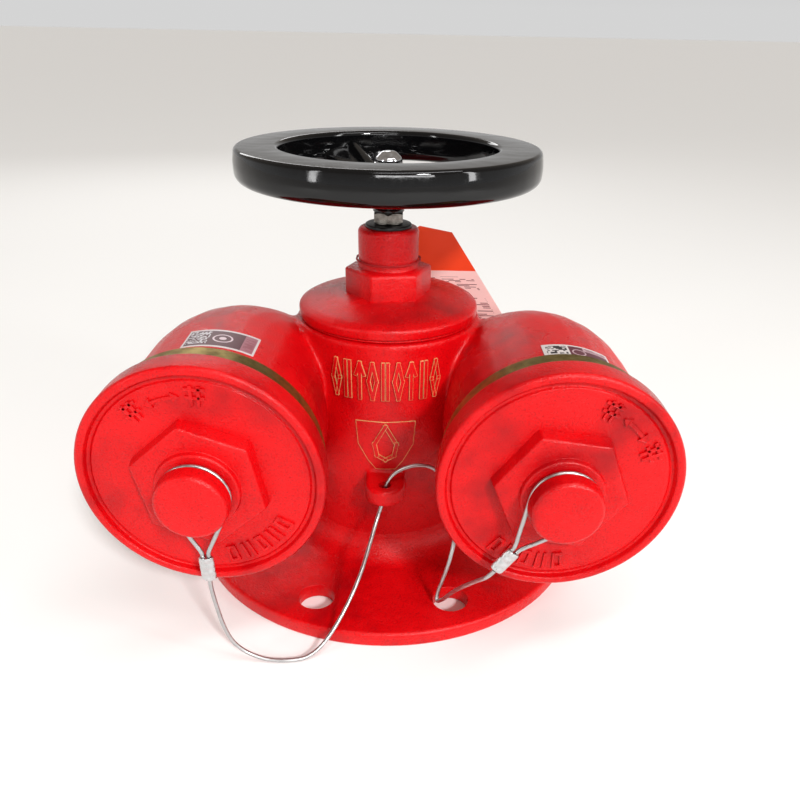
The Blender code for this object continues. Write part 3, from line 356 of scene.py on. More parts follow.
@dataclass(frozen=True)
class Print(Finish):
    """Printed film or card, laid out on the piece's own UV map in cells of one colour."""

    cells: tuple[tuple[float, float, float, float, str], ...] = ()
    codes: tuple[tuple[float, float, float, float, float, str], ...] = ()
    rings: tuple[tuple[float, float, float, float, str], ...] = ()
    aspect: float = 1.0

    def detail(self, material: bpy.types.Material, shader: bpy.types.Node) -> None:
        """Lay the plain cells, then the dot blocks and line blocks, then the rings."""
        uv = add_node(material, "ShaderNodeUVMap", uv_map="print").outputs["UV"]
        split = add_node(material, "ShaderNodeSeparateXYZ", {0: uv})
        ground = add_node(material, "ShaderNodeRGB").outputs["Color"]
        ground.default_value = linear(self.colour)
        for left, right, low, high, colour in self.cells:
            mask = self.window(material, split, (left, right, low, high))
            ground = self.over(material, mask, ground, colour)
        for left, right, low, high, size, colour in self.codes:
            mask = self.window(material, split, (left, right, low, high))
            dots = self.dots(material, uv, size)
            both = add_node(material, "ShaderNodeMath", {0: mask, 1: dots}, operation="MULTIPLY")
            ground = self.over(material, both.outputs["Value"], ground, colour)
        for x, y, inner, outer, colour in self.rings:
            ground = self.over(material, self.ring(material, split, (x, y), (inner, outer)),
                               ground, colour)
        self.link(material, ground, shader, "Base Color")

    def over(self, material: bpy.types.Material, mask: bpy.types.NodeSocket,
             ground: bpy.types.NodeSocket, colour: str) -> bpy.types.NodeSocket:
        """Lay a colour over the ground where the mask is 1."""
        return add_node(material, "ShaderNodeMix", {
            "Factor": mask, "A": ground, "B": linear(colour)},
            data_type="RGBA").outputs["Result"]

    def window(self, material: bpy.types.Material, split: bpy.types.Node,
               limits: tuple[float, float, float, float]) -> bpy.types.NodeSocket:
        """Return a mask that is 1 between the limits in U and in V."""
        masks = []
        for axis, low, high in (("X", *limits[:2]), ("Y", *limits[2:])):
            inside = add_node(material, "ShaderNodeMath", {
                0: split.outputs[axis], 1: (low + high) / 2, 2: (high - low) / 2},
                operation="COMPARE")
            masks.append(inside.outputs["Value"])
        both = add_node(material, "ShaderNodeMath", {0: masks[0], 1: masks[1]},
                        operation="MULTIPLY")
        return both.outputs["Value"]

    def dots(self, material: bpy.types.Material, uv: bpy.types.NodeSocket,
             size: float) -> bpy.types.NodeSocket:
        """Return a mask of random square dots; a negative size gives short lines."""
        step = abs(size)
        across = step * (3.2 if size < 0 else 1)
        grid = add_node(material, "ShaderNodeVectorMath", {
            0: uv, 1: (across, step * self.aspect, 1)}, operation="SNAP")
        noise = add_node(material, "ShaderNodeTexWhiteNoise", {"Vector": grid.outputs["Vector"]},
                         noise_dimensions="2D")
        limit = add_node(material, "ShaderNodeMath", {0: noise.outputs["Value"], 1: 0.5},
                         operation="GREATER_THAN")
        if size > 0:
            return limit.outputs["Value"]
        split = add_node(material, "ShaderNodeSeparateXYZ", {0: uv})
        phase = add_node(material, "ShaderNodeMath", {
            0: split.outputs["Y"], 1: 1 / (step * self.aspect)}, operation="MULTIPLY")
        part = add_node(material, "ShaderNodeMath", {0: phase.outputs["Value"]},
                        operation="FRACT")
        line = add_node(material, "ShaderNodeMath", {0: part.outputs["Value"], 1: 0.5},
                        operation="LESS_THAN")
        both = add_node(material, "ShaderNodeMath", {
            0: limit.outputs["Value"], 1: line.outputs["Value"]}, operation="MULTIPLY")
        return both.outputs["Value"]

    def ring(self, material: bpy.types.Material, split: bpy.types.Node, centre: Point,
             radii: Point) -> bpy.types.NodeSocket:
        """Return a mask of a plain ring, round on the real piece."""
        squares = []
        for axis, middle, stretch in (("X", centre[0], 1.0), ("Y", centre[1], 1 / self.aspect)):
            away = add_node(material, "ShaderNodeMath", {
                0: split.outputs[axis], 1: middle}, operation="SUBTRACT")
            scaled = add_node(material, "ShaderNodeMath", {
                0: away.outputs["Value"], 1: stretch}, operation="MULTIPLY")
            square = add_node(material, "ShaderNodeMath", {
                0: scaled.outputs["Value"], 1: 2.0}, operation="POWER")
            squares.append(square.outputs["Value"])
        total = add_node(material, "ShaderNodeMath", {0: squares[0], 1: squares[1]},
                         operation="ADD")
        far = add_node(material, "ShaderNodeMath", {0: total.outputs["Value"]}, operation="SQRT")
        inside = add_node(material, "ShaderNodeMath", {
            0: far.outputs["Value"], 1: sum(radii) / 2, 2: (radii[1] - radii[0]) / 2},
            operation="COMPARE")
        return inside.outputs["Value"]


RED = CastEnamel("red_gloss_enamel_on_cast_iron", "red_enamel", "C40309", 0.26, shine=0.26)
RED_MARK = CastEnamel("rubbed_red_enamel_marks", "red_enamel", "C40309", 0.28, shine=0.3,
                      rub="E8C684")
BLACK = DippedEnamel("black_dipped_enamel", "black_enamel", "060607", 0.06, shine=0.4)
BLACK_MATT = DippedEnamel("black_sprayed_enamel", "black_enamel", "0C0A0B", 0.30, shine=0.35)
BRASS = TurnedMetal("turned_olive_brass", "brass", "A38C46", 0.38, 1.0, stain="786430", axis="Y")
BRASS_UP = TurnedMetal("turned_brass_upright", "brass", "9A7F42", 0.34, 1.0, stain="54421E")
STEEL = TurnedMetal("turned_oiled_steel", "steel", "8F8C86", 0.28, 1.0, stain="37332E")
CHROME = GrainedMetal("bright_chrome_plate", "chrome", "D9DADD", 0.09, 1.0)
ROPE = GrainedMetal("galvanised_wire_strand", "wire_rope", "C3C4C4", 0.32, 1.0)
ALUMINIUM = GrainedMetal("crimped_aluminium", "aluminium", "D6D7D8", 0.30, 1.0)
RUBBER = PressedSheet("moulded_black_rubber", "rubber", "1B1B1B", 0.75)
FIBRE = PressedSheet("pressed_fibre_sheet", "fibre", "4A3B30", 0.85)
STRING = PressedSheet("twisted_red_string", "string", "A60A10", 0.9)


# ---- Hand tools ----
class Bench:
    """The mesh tools that every sub-assembly works with."""

    @staticmethod
    def take(obj: bpy.types.Object) -> bpy.types.Object:
        """Select one object alone and make it active."""
        bpy.ops.object.select_all(action="DESELECT")
        obj.select_set(True)
        bpy.context.view_layer.objects.active = obj
        return obj

    @staticmethod
    @contextmanager
    def edit(obj: bpy.types.Object, mode: str = "VERT") -> Iterator[None]:
        """Open an object in edit mode for the length of a with block."""
        Bench.take(obj)
        bpy.ops.object.mode_set(mode="EDIT")
        bpy.ops.mesh.select_mode(type=mode)
        yield
        bpy.ops.object.mode_set(mode="OBJECT")

    @staticmethod
    def pick(obj: bpy.types.Object, domain: str, test: Callable[[object], bool]) -> int:
        """Select the verts, edges or faces in edit mode that pass a test.

        Args:
            obj: the object in edit mode.
            domain: "verts", "edges" or "faces".
            test: takes the element, in the object's own coordinates.

        Returns:
            How many were selected.
        """
        bpy.ops.mesh.select_all(action="DESELECT")
        shape = bmesh.from_edit_mesh(obj.data)
        count = 0
        for element in getattr(shape, domain):
            if test(element):
                element.select_set(True)
                count += 1
        shape.select_flush_mode()
        bmesh.update_edit_mesh(obj.data)
        return count

    @staticmethod
    def modify(obj: bpy.types.Object, kind: str, **settings: object) -> bpy.types.Object:
        """Add a modifier with its settings and apply it."""
        Bench.take(obj)
        modifier = obj.modifiers.new(kind.title(), kind)
        for name, value in settings.items():
            setattr(modifier, name, value)
        bpy.ops.object.modifier_apply(modifier=modifier.name)
        return obj

    @staticmethod
    def combine(obj: bpy.types.Object, other: bpy.types.Object,
                operation: str) -> bpy.types.Object:
        """Unite or cut with another closed solid, which is used up."""
        Bench.modify(obj, "BOOLEAN", operation=operation, object=other, solver="MANIFOLD")
        bpy.data.objects.remove(other, do_unlink=True)
        return obj

    @staticmethod
    def gather(name: str, parts: Sequence[bpy.types.Object]) -> bpy.types.Object:
        """Join parts into one object under a new name."""
        Bench.take(parts[0])
        for part in parts:
            part.select_set(True)
        if len(parts) > 1:
            bpy.ops.object.join()
        parts[0].name = name
        return parts[0]

    @staticmethod
    def settle(obj: bpy.types.Object, matrix: Matrix | None = None) -> bpy.types.Object:
        """Move an object by a matrix and put its place into its mesh."""
        Bench.take(obj)
        if matrix is not None:
            obj.matrix_world = matrix @ obj.matrix_world
        bpy.ops.object.transform_apply(location=True, rotation=True, scale=True)
        return obj

    @staticmethod
    def smooth(obj: bpy.types.Object, degrees: float = 35) -> bpy.types.Object:
        """Shade smooth but for edges sharper than an angle."""
        Bench.take(obj)
        bpy.ops.object.shade_smooth_by_angle(angle=math.radians(degrees))
        return obj

    @staticmethod
    def chain(name: str, points: Sequence[Sequence[float]]) -> bpy.types.Object:
        """Draw a run of edges by extruding one vertex from point to point."""
        bpy.ops.object.select_all(action="DESELECT")
        bpy.ops.mesh.primitive_plane_add(size=1 * MM, location=points[0])
        obj = bpy.context.object
        obj.name = name
        with Bench.edit(obj):
            bpy.ops.mesh.select_all(action="SELECT")
            bpy.ops.mesh.merge(type="CENTER")
            for a, b in zip(points, points[1:]):
                step = Vector(b) - Vector(a)
                bpy.ops.mesh.extrude_vertices_move(TRANSFORM_OT_translate={"value": step})
        return Bench.settle(obj)

    @staticmethod
    def lathe(name: str, profile: Sequence[Point], steps: int = 96,
              closed: bool = False) -> bpy.types.Object:
        """Spin a profile of radius and height about Z.

        Args:
            name: the new object's name.
            profile: points from the top axis down the outside; a closed ring leaves the axis out.
            steps: facets round the turn.
            closed: whether the profile's end joins its start.

        Returns:
            A closed solid with its normals outwards.
        """
        points = list(profile) + ([profile[0]] if closed else [])
        obj = Bench.chain(name, [(r, 0, z) for r, z in points])
        with Bench.edit(obj):
            bpy.ops.mesh.select_all(action="SELECT")
            bpy.ops.mesh.remove_doubles(threshold=0.004 * MM)
            bpy.ops.mesh.select_all(action="SELECT")
            bpy.ops.mesh.spin(steps=steps, angle=2 * math.pi, center=(0, 0, 0), axis=(0, 0, 1),
                              use_auto_merge=False)
            bpy.ops.mesh.select_all(action="SELECT")
            bpy.ops.mesh.remove_doubles(threshold=0.004 * MM)
            bpy.ops.mesh.normals_make_consistent(inside=False)
        return obj

    @staticmethod
    def drum(name: str, radius: float, low: float, high: float, sides: int = 48,
             centre: Point = (0, 0), turn: float = 0) -> bpy.types.Object:
        """Add an upright cylinder or prism between two heights."""
        bpy.ops.object.select_all(action="DESELECT")
        bpy.ops.mesh.primitive_cylinder_add(
            vertices=sides, radius=radius, depth=high - low,
            location=(*centre, (low + high) / 2), rotation=(0, 0, turn))
        bpy.context.object.name = name
        return Bench.settle(bpy.context.object)

    @staticmethod
    def block(name: str, centre: Sequence[float], size: Sequence[float],
              cuts: int = 0) -> bpy.types.Object:
        """Add a box, divided finely where it is to be shaped."""
        bpy.ops.object.select_all(action="DESELECT")
        bpy.ops.mesh.primitive_cube_add(size=1, location=centre, scale=size)
        obj = bpy.context.object
        obj.name = name
        Bench.settle(obj)
        with Bench.edit(obj):
            bpy.ops.mesh.select_all(action="SELECT")
            if cuts:
                bpy.ops.mesh.subdivide(number_cuts=cuts)
        return obj

    @staticmethod
    def sweep(name: str, points: Sequence[Vector], radii: Sequence[float],
              fineness: int = 10) -> bpy.types.Object:
        """Run a round section along points and turn it into a closed mesh."""
        curve = bpy.data.curves.new(name, "CURVE")
        curve.dimensions = "3D"
        curve.bevel_depth = 1.0
        curve.bevel_resolution = fineness
        curve.use_fill_caps = True
        spline = curve.splines.new("POLY")
        spline.points.add(len(points) - 1)
        for knot, point, radius in zip(spline.points, points, radii):
            knot.co, knot.radius = (*point, 1), radius
        obj = bpy.data.objects.new(name, curve)
        bpy.context.scene.collection.objects.link(obj)
        Bench.take(obj)
        bpy.ops.object.convert(target="MESH")
        obj = bpy.context.object
        with Bench.edit(obj):
            bpy.ops.mesh.select_all(action="SELECT")
            bpy.ops.mesh.remove_doubles(threshold=0.01 * MM)
            bpy.ops.mesh.normals_make_consistent(inside=False)
        return obj

    @staticmethod
    def emboss(name: str, outline: Sequence[Point], height: float,
               shrink: float = 0.35 * MM) -> bpy.types.Object:
        """Raise a flat outline into a mark with drafted sides, standing on z = 0.

        Args:
            name: the new object's name.
            outline: corner points in X and Y, in order.
            height: how far the mark stands up; it also reaches 0.6 mm below.
            shrink: width of the soft edge round its top.

        Returns:
            A closed solid whose "rub" attribute is 1 round its top edge.
        """
        obj = Bench.chain(name, [(x, y, -0.6 * MM) for x, y in (*outline, outline[0])])
        with Bench.edit(obj, "EDGE"):
            bpy.ops.mesh.select_all(action="SELECT")
            bpy.ops.mesh.remove_doubles(threshold=0.01 * MM)
            bpy.ops.mesh.select_all(action="SELECT")
            bpy.ops.mesh.edge_face_add()
            bpy.ops.mesh.extrude_region_move(
                TRANSFORM_OT_translate={"value": (0, 0, height + 0.6 * MM)})
            bpy.ops.mesh.inset(thickness=shrink, depth=0.12 * MM)
            bpy.ops.mesh.select_all(action="SELECT")
            bpy.ops.mesh.normals_make_consistent(inside=False)
            bpy.ops.mesh.quads_convert_to_tris()
            bpy.ops.mesh.subdivide(number_cuts=1)
        rub = obj.data.attributes.new("rub", "FLOAT", "POINT")
        rub.data.foreach_set("value", [
            1.0 if abs(v.co.z - height) < 0.05 * MM else 0.1 for v in obj.data.vertices])
        return obj

    @staticmethod
    def reshape(obj: bpy.types.Object, move: Callable[[Vector], Vector]) -> bpy.types.Object:
        """Move every vertex to where a rule says."""
        for vertex in obj.data.vertices:
            vertex.co = move(vertex.co)
        obj.data.update()
        return obj

    @staticmethod
    def dress(obj: bpy.types.Object, finish: Finish) -> bpy.types.Object:
        """Give an object one finish in place of any it has."""
        obj.data.materials.clear()
        obj.data.materials.append(finish.make())
        return obj


def rounded(corners: Sequence[tuple[float, ...]], steps: int = 5) -> list[Point]:
    """Round the corners of a profile.

    Args:
        corners: radius, height and, where it is rounded, the corner's own radius.
        steps: points in each rounded corner, less one.

    Returns:
        The profile's points.
    """
    out: list[Point] = []
    for i, corner in enumerate(corners):
        here = Vector(corner[:2])
        size = corner[2] if len(corner) > 2 else 0
        if not size or i in (0, len(corners) - 1):
            out.append((here.x, here.y))
            continue
        before = (Vector(corners[i - 1][:2]) - here)
        after = (Vector(corners[i + 1][:2]) - here)
        a, b = before.normalized(), after.normalized()
        half = a.angle(b) / 2
        reach = min(size / math.tan(half), before.length * 0.49, after.length * 0.49)
        start, end = here + a * reach, here + b * reach
        centre = here + (a + b).normalized() * (reach / math.cos(half))
        u, v = start - centre, end - centre
        sweep = u.angle(v)
        for k in range(steps + 1):
            t = k / steps
            point = centre + (u * math.sin((1 - t) * sweep) + v * math.sin(t * sweep)) \
                / math.sin(sweep)
            out.append((point.x, point.y))
    return out


def smooth_route(route: Sequence[Vector], step: float) -> list[Vector]:
    """Read evenly spaced points from a Catmull-Rom curve through a rope's route."""
    ends = [route[0] * 2 - route[1], *route, route[-1] * 2 - route[-2]]
    dense: list[Vector] = []
    for a, b, c, d in zip(ends, ends[1:], ends[2:], ends[3:]):
        for i in range(16):
            t = i / 16
            dense.append(0.5 * (2 * b + (c - a) * t + (2 * a - 5 * b + 4 * c - d) * t ** 2
                                + (3 * b - a - 3 * c + d) * t ** 3))
    dense.append(route[-1])
    far = np.concatenate(([0], np.cumsum([(b - a).length for a, b in zip(dense, dense[1:])])))
    goals = np.linspace(0, far[-1], max(2, round(far[-1] / step)) + 1)
    xyz = np.array(dense)
    return [Vector([float(np.interp(g, far, xyz[:, k])) for k in range(3)]) for g in goals]


# ---- Cast body ----
@dataclass
class Casting:
    """Base flange, barrel, elbows and tether lug, cast in one."""

    flange_radius: float = 110 * MM
    flange_thickness: float = 8 * MM
    hub_fillet: float = 14 * MM
    top: float = 130.4 * MM
    bend_radius: float = 44 * MM
    root_z: float = 83 * MM
    root_radius: float = 30 * MM
    root_bore: float = 24 * MM
    tube_bore: float = 36 * MM
    tube_end: float = 82.5 * MM
    socket_radius: float = 41.5 * MM
    socket_depth: float = 16 * MM
    voxel: float = 1.15 * MM

    def elbow_path(self, side: Side, reach: float, steps: int) -> tuple[list[Vector], list[float]]:
        """Return a hose connection's centre line and how far its taper has run."""
        start_x = HOSE_X - self.bend_radius
        shares = [1 - (1 - (i / steps) ** 1.5) ** 3 for i in range(steps + 1)]
        points = [Vector((side.value * start_x / 6, AXIS_Y, self.root_z))]
        for i, share in enumerate(shares):
            angle = math.pi / 2 * (1 - i / steps)
            x = start_x + self.bend_radius * math.cos(angle)
            y = self.bend_radius * (math.sin(angle) - 1)
            points.append(Vector((side.value * x, AXIS_Y + y,
                                  self.root_z + (HOSE_Z - self.root_z) * share)))
        points.append(Vector((side.value * HOSE_X, AXIS_Y - reach, HOSE_Z)))
        return points, [0, *shares, 1]

    def elbow(self, side: Side, reach: float, radii: Point, name: str) -> bpy.types.Object:
        """Sweep a hose connection whose radius grows from the barrel to the tube."""
        points, shares = self.elbow_path(side, reach, 18)
        return Bench.sweep(name, points, [radii[0] + (radii[1] - radii[0]) * s for s in shares],
                           14)

    def build(self) -> None:
        """Model the casting, its bores and holes, and its raised marks."""
        upper = self.upper()
        base = self.base()
        Bench.combine(upper, base, "UNION")
        self.bore(upper)
        upper.name = "cast_body"
        Bench.smooth(upper, 40)
        Bench.dress(upper, RED)
        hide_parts("valve_body")
        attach(upper, "valve_casing")
        log.info("cast body: %d faces", len(upper.data.polygons))
        self.marks()
        self.labels()

    def upper(self) -> bpy.types.Object:
        """Unite barrel, elbows and lug, then melt their joints together as cast metal."""
        barrel = Bench.lathe("barrel", rounded([
            (0, self.top), (BARREL_RADIUS, self.top, 1.2 * MM), (BARREL_RADIUS, 14 * MM),
            (0, 14 * MM)]), 96)
        Bench.settle(barrel, UP)
        for side in Side:
            tube = self.elbow(side, self.tube_end, (self.root_radius, TUBE_RADIUS), "elbow")
            Bench.combine(barrel, tube, "UNION")
        Bench.combine(barrel, self.lug(), "UNION")
        Bench.modify(barrel, "REMESH", mode="VOXEL", voxel_size=self.voxel)
        self.melt(barrel)
        return barrel

    def lug(self) -> bpy.types.Object:
        """Model the tether lug and the small web under it."""
        lug = Bench.drum("lug", 10 * MM, 53.5 * MM, 62 * MM, 40, (0, AXIS_Y - 57 * MM))
        root = Bench.block("lug_root", (0, AXIS_Y - 49 * MM, 57.75 * MM),
                           (20 * MM, 17 * MM, 8.5 * MM))
        return Bench.combine(lug, root, "UNION")

    def melt(self, obj: bpy.types.Object) -> None:
        """Smooth hard where two bodies of metal meet and lightly elsewhere."""
        xyz = np.empty(len(obj.data.vertices) * 3)
        obj.data.vertices.foreach_get("co", xyz)
        xyz = xyz.reshape(-1, 3)
        wall = np.abs(np.hypot(xyz[:, 0], xyz[:, 1] - AXIS_Y) - BARREL_RADIUS)
        tube = np.full(len(xyz), 1.0)
        for side in Side:
            points, shares = self.elbow_path(side, self.tube_end, 40)
            for point, share in zip(points, shares):
                radius = self.root_radius + (TUBE_RADIUS - self.root_radius) * share
                away = np.linalg.norm(xyz - np.array(point), axis=1) - radius
                tube = np.minimum(tube, np.abs(away))
        lug = np.linalg.norm(xyz - np.array((0, AXIS_Y - 50 * MM, 57.75 * MM)), axis=1)
        joint = np.clip(1.5 - wall / (8 * MM), 0, 1) * np.clip(1.5 - tube / (8 * MM), 0, 1)
        joint *= xyz[:, 2] < self.top - 2 * MM
        near_lug = np.clip(1.6 - lug / (10 * MM), 0, 1) * 0.5
        for name, weights, turns in (("joint", joint, 60), ("lug", near_lug, 5),
                                     ("all", np.full(len(xyz), 0.5), 4)):
            group = obj.vertex_groups.new(name=name)
            for i in np.nonzero(weights > 0.01)[0]:
                group.add([int(i)], float(weights[i]), "REPLACE")
            Bench.modify(obj, "SMOOTH", factor=0.5, iterations=turns, vertex_group=name)
        obj.vertex_groups.clear()

    def base(self) -> bpy.types.Object:
        """Turn the flange and the fillet that carries it up to the barrel."""
        fillet_top = self.flange_thickness + self.hub_fillet
        centre = (BARREL_RADIUS + self.hub_fillet + 0.25 * MM, fillet_top)
        arc = [(centre[0] + self.hub_fillet * math.cos(math.radians(a)),
                centre[1] + self.hub_fillet * math.sin(math.radians(a)))
               for a in range(184, 271, 6)]
        rim = rounded([
            (centre[0], self.flange_thickness), (self.flange_radius, self.flange_thickness, 2 * MM),
            (self.flange_radius, 0, 1 * MM), (0, 0)])
        flange = Bench.lathe("base", [(0, 27 * MM), (44 * MM, 27 * MM), (46 * MM, 25 * MM),
                                      *arc, *rim[1:]], 160)
        return Bench.settle(flange, UP)

    def bore(self, body: bpy.types.Object) -> None:
        """Cut the waterway, the hose passages, the sockets and the holes."""
        water = Bench.lathe("waterway", [
            (0, 136 * MM), (41.3 * MM, 136 * MM), (41.3 * MM, 122.7 * MM), (41.5 * MM, 121 * MM),
            (41.5 * MM, 47 * MM), (38.3 * MM, 46 * MM), (38.3 * MM, 38 * MM), (34 * MM, 38 * MM),
            (34 * MM, 32.3 * MM), (50 * MM, 3 * MM), (50 * MM, -5 * MM), (0, -5 * MM)], 80)
        Bench.combine(body, Bench.settle(water, UP), "DIFFERENCE")
        for side in Side:
            passage = self.elbow(side, self.tube_end + 5 * MM, (self.root_bore, self.tube_bore),
                                 "passage")
            Bench.combine(body, passage, "DIFFERENCE")
        cutters = [Bench.settle(Bench.drum("socket", self.socket_radius,
                                           self.tube_end - self.socket_depth,
                                           self.tube_end + 5 * MM, 72), side.hose_frame)
                   for side in Side]
        for i in range(8):
            angle = math.radians(22.5 + 45 * i)
            spot = (90 * MM * math.sin(angle), AXIS_Y - 90 * MM * math.cos(angle))
            hole = Bench.lathe("bolt_hole", [
                (0, 13 * MM), (9 * MM, 13 * MM), (9.9 * MM, 9 * MM), (9 * MM, 7.2 * MM),
                (9 * MM, 0.6 * MM), (9.9 * MM, -0.4 * MM), (9.9 * MM, -5 * MM), (0, -5 * MM)], 40)
            cutters.append(Bench.settle(hole, Matrix.Translation((*spot, 0))))
        cutters.append(Bench.drum("eye", 3.2 * MM, 48 * MM, 68 * MM, 28,
                                  (0, AXIS_Y - 59.5 * MM)))
        Bench.combine(body, Bench.gather("cutters", cutters), "DIFFERENCE")

    def wrap(self, obj: bpy.types.Object, height: float) -> bpy.types.Object:
        """Bend a flat mark round the front of the barrel, with its middle at a height."""
        def move(at: Vector) -> Vector:
            """Take X round the barrel, Y up and Z out of it."""
            angle = at.x / BARREL_RADIUS
            radius = BARREL_RADIUS - 0.15 * MM + at.z
            return Vector((radius * math.sin(angle), AXIS_Y - radius * math.cos(angle),
                           height + at.y))
        return Bench.reshape(obj, move)

    def marks(self) -> None:
        """Raise a row of tall plain signs and a shield with a drop on the front of the barrel."""
        signs = {
            "lozenge": [((0, 1), (1, 0)), ((1, 0), (0, -1)), ((0, -1), (-1, 0)), ((-1, 0), (0, 1))],
            "bars": [((-0.55, 1), (-0.55, -1)), ((0.55, 1), (0.55, -1))],
            "arrow": [((0, 1), (0, -1)), ((-1, 0.35), (0, 1)), ((0, 1), (1, 0.35))]}
        row = ("lozenge", "bars", "arrow", "lozenge", "bars", "lozenge", "arrow", "bars", "lozenge")
        parts = []
        for i, sign in enumerate(row):
            x = (i - (len(row) - 1) / 2) * 6.1 * MM
            for (ax, ay), (bx, by) in signs[sign]:
                line = self.stroke((x + ax * 1.9 * MM, ay * 9.0 * MM),
                                   (x + bx * 1.9 * MM, by * 9.0 * MM), 1.8 * MM)
                parts.append(self.wrap(Bench.emboss("sign", line, 1.3 * MM, 0.42 * MM), 112.7 * MM))
        shield = [(-15 * MM, 11 * MM), (15 * MM, 11 * MM), (14 * MM, -2 * MM), (9 * MM, -11 * MM),
                  (5 * MM, -16 * MM), (-5 * MM, -16 * MM), (-9 * MM, -11 * MM), (-14 * MM, -2 * MM)]
        parts.append(self.wrap(Bench.emboss("shield", shield, 0.8 * MM, 0.8 * MM), 80 * MM))
        drop = [(0, 9 * MM), (-5.4 * MM, -1 * MM), (-4.2 * MM, -7.5 * MM), (0, -10 * MM),
                (4.2 * MM, -7.5 * MM), (5.4 * MM, -1 * MM), (0, 9 * MM)]
        for a, b in zip(drop, drop[1:]):
            parts.append(self.wrap(Bench.emboss("drop", self.stroke(a, b, 2.0 * MM), 1.7 * MM,
                                                0.45 * MM), 80 * MM))
        marks = Bench.gather("barrel_marks", parts)
        Bench.smooth(marks, 50)
        Bench.dress(marks, RED_MARK)
        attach(marks, "valve_casing")
        log.info("barrel marks")

    def stroke(self, start: Point, end: Point, width: float) -> list[Point]:
        """Return the outline of a straight raised line, a little longer than its two ends."""
        a, b = Vector(start), Vector(end)
        along = (b - a).normalized() * width / 2
        across = Vector((-along.y, along.x))
        corners = (a - along + across, b + along + across, b + along - across,
                   a - along - across)
        return [(c.x, c.y) for c in corners]

    def labels(self) -> None:
        """Lay a printed label over the top of each hose connection."""
        left = Label("left_label", Side.LEFT, (-13, 25), (58 * MM, 77 * MM), LEFT_PRINT)
        right = Label("right_label", Side.RIGHT, (-9, 27), (68 * MM, 80 * MM), RIGHT_PRINT)
        for label in (left, right):
            label.build()


LEFT_PRINT = Print(
    "printed_maroon_label", "card", "C9BFBF", 0.34, shine=0.3,
    cells=((0.03, 0.97, 0.06, 0.92, "470D1C"), (0.80, 0.97, 0.06, 0.92, "97606A")),
    codes=((0.04, 0.33, 0.16, 0.90, 0.026, "BDB9BC"), (0.82, 0.95, 0.15, 0.85, -0.03, "7A3A42")),
    rings=((0.52, 0.50, 0.115, 0.14, "C9B4BA"), (0.52, 0.50, 0.0, 0.05, "C9B4BA")),
    aspect=1.62)
RIGHT_PRINT = Print(
    "printed_pale_label", "card", "CFC6C3", 0.34, shine=0.3,
    cells=((0.38, 0.97, 0.10, 0.90, "5A2230"), (0.60, 0.97, 0.60, 0.90, "B99AA0")),
    codes=((0.05, 0.35, 0.14, 0.86, 0.032, "2C2526"), (0.62, 0.95, 0.64, 0.86, -0.04, "6D3340")),
    rings=((0.52, 0.40, 0.085, 0.105, "B99AA0"),), aspect=2.5)
TAG_PRINT = Print(
    "printed_tag_card", "card", "E6BDB8", 0.42,
    cells=((-0.1, 1.1, 0.745, 1.6, "DE3D12"),),
    codes=((0.08, 0.92, 0.60, 0.70, -0.020, "5B2A33"), (0.08, 0.92, 0.10, 0.54, -0.026, "6A2A34")),
    aspect=0.478)


@dataclass
class Label:
    """A thin printed film that follows a hose connection's round top."""

    name: str
    side: Side
    angles: Point  # degrees from straight up, towards +X
    reach: Point  # in front of the barrel's axis
    finish: Print
    thickness: float = 0.12 * MM

    def build(self) -> None:
        """Bend a divided sheet round the tube and print it."""
        bpy.ops.object.select_all(action="DESELECT")
        bpy.ops.mesh.primitive_grid_add(x_subdivisions=24, y_subdivisions=8, size=1)
        sheet = bpy.context.object
        sheet.name = self.name
        uv = sheet.data.uv_layers.new(name="print")
        for loop in sheet.data.loops:
            at = sheet.data.vertices[loop.vertex_index].co
            uv.data[loop.index].uv = (at.x + 0.5, at.y + 0.5)

        def move(at: Vector) -> Vector:
            """Take X round the tube and Y back along it."""
            low, high = (math.radians(a) for a in self.angles)
            angle = low + (high - low) * (at.x + 0.5)
            reach = self.reach[1] + (self.reach[0] - self.reach[1]) * (at.y + 0.5)
            radius = TUBE_RADIUS + self.thickness
            return Vector((self.side.value * HOSE_X + radius * math.sin(angle),
                           AXIS_Y - reach, HOSE_Z + radius * math.cos(angle)))

        Bench.reshape(sheet, move)
        Bench.modify(sheet, "SOLIDIFY", thickness=0.25 * MM, offset=-1)
        Bench.smooth(sheet, 40)
        Bench.dress(sheet, self.finish)
        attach(sheet, "valve_casing")
        log.info("%s", self.name)


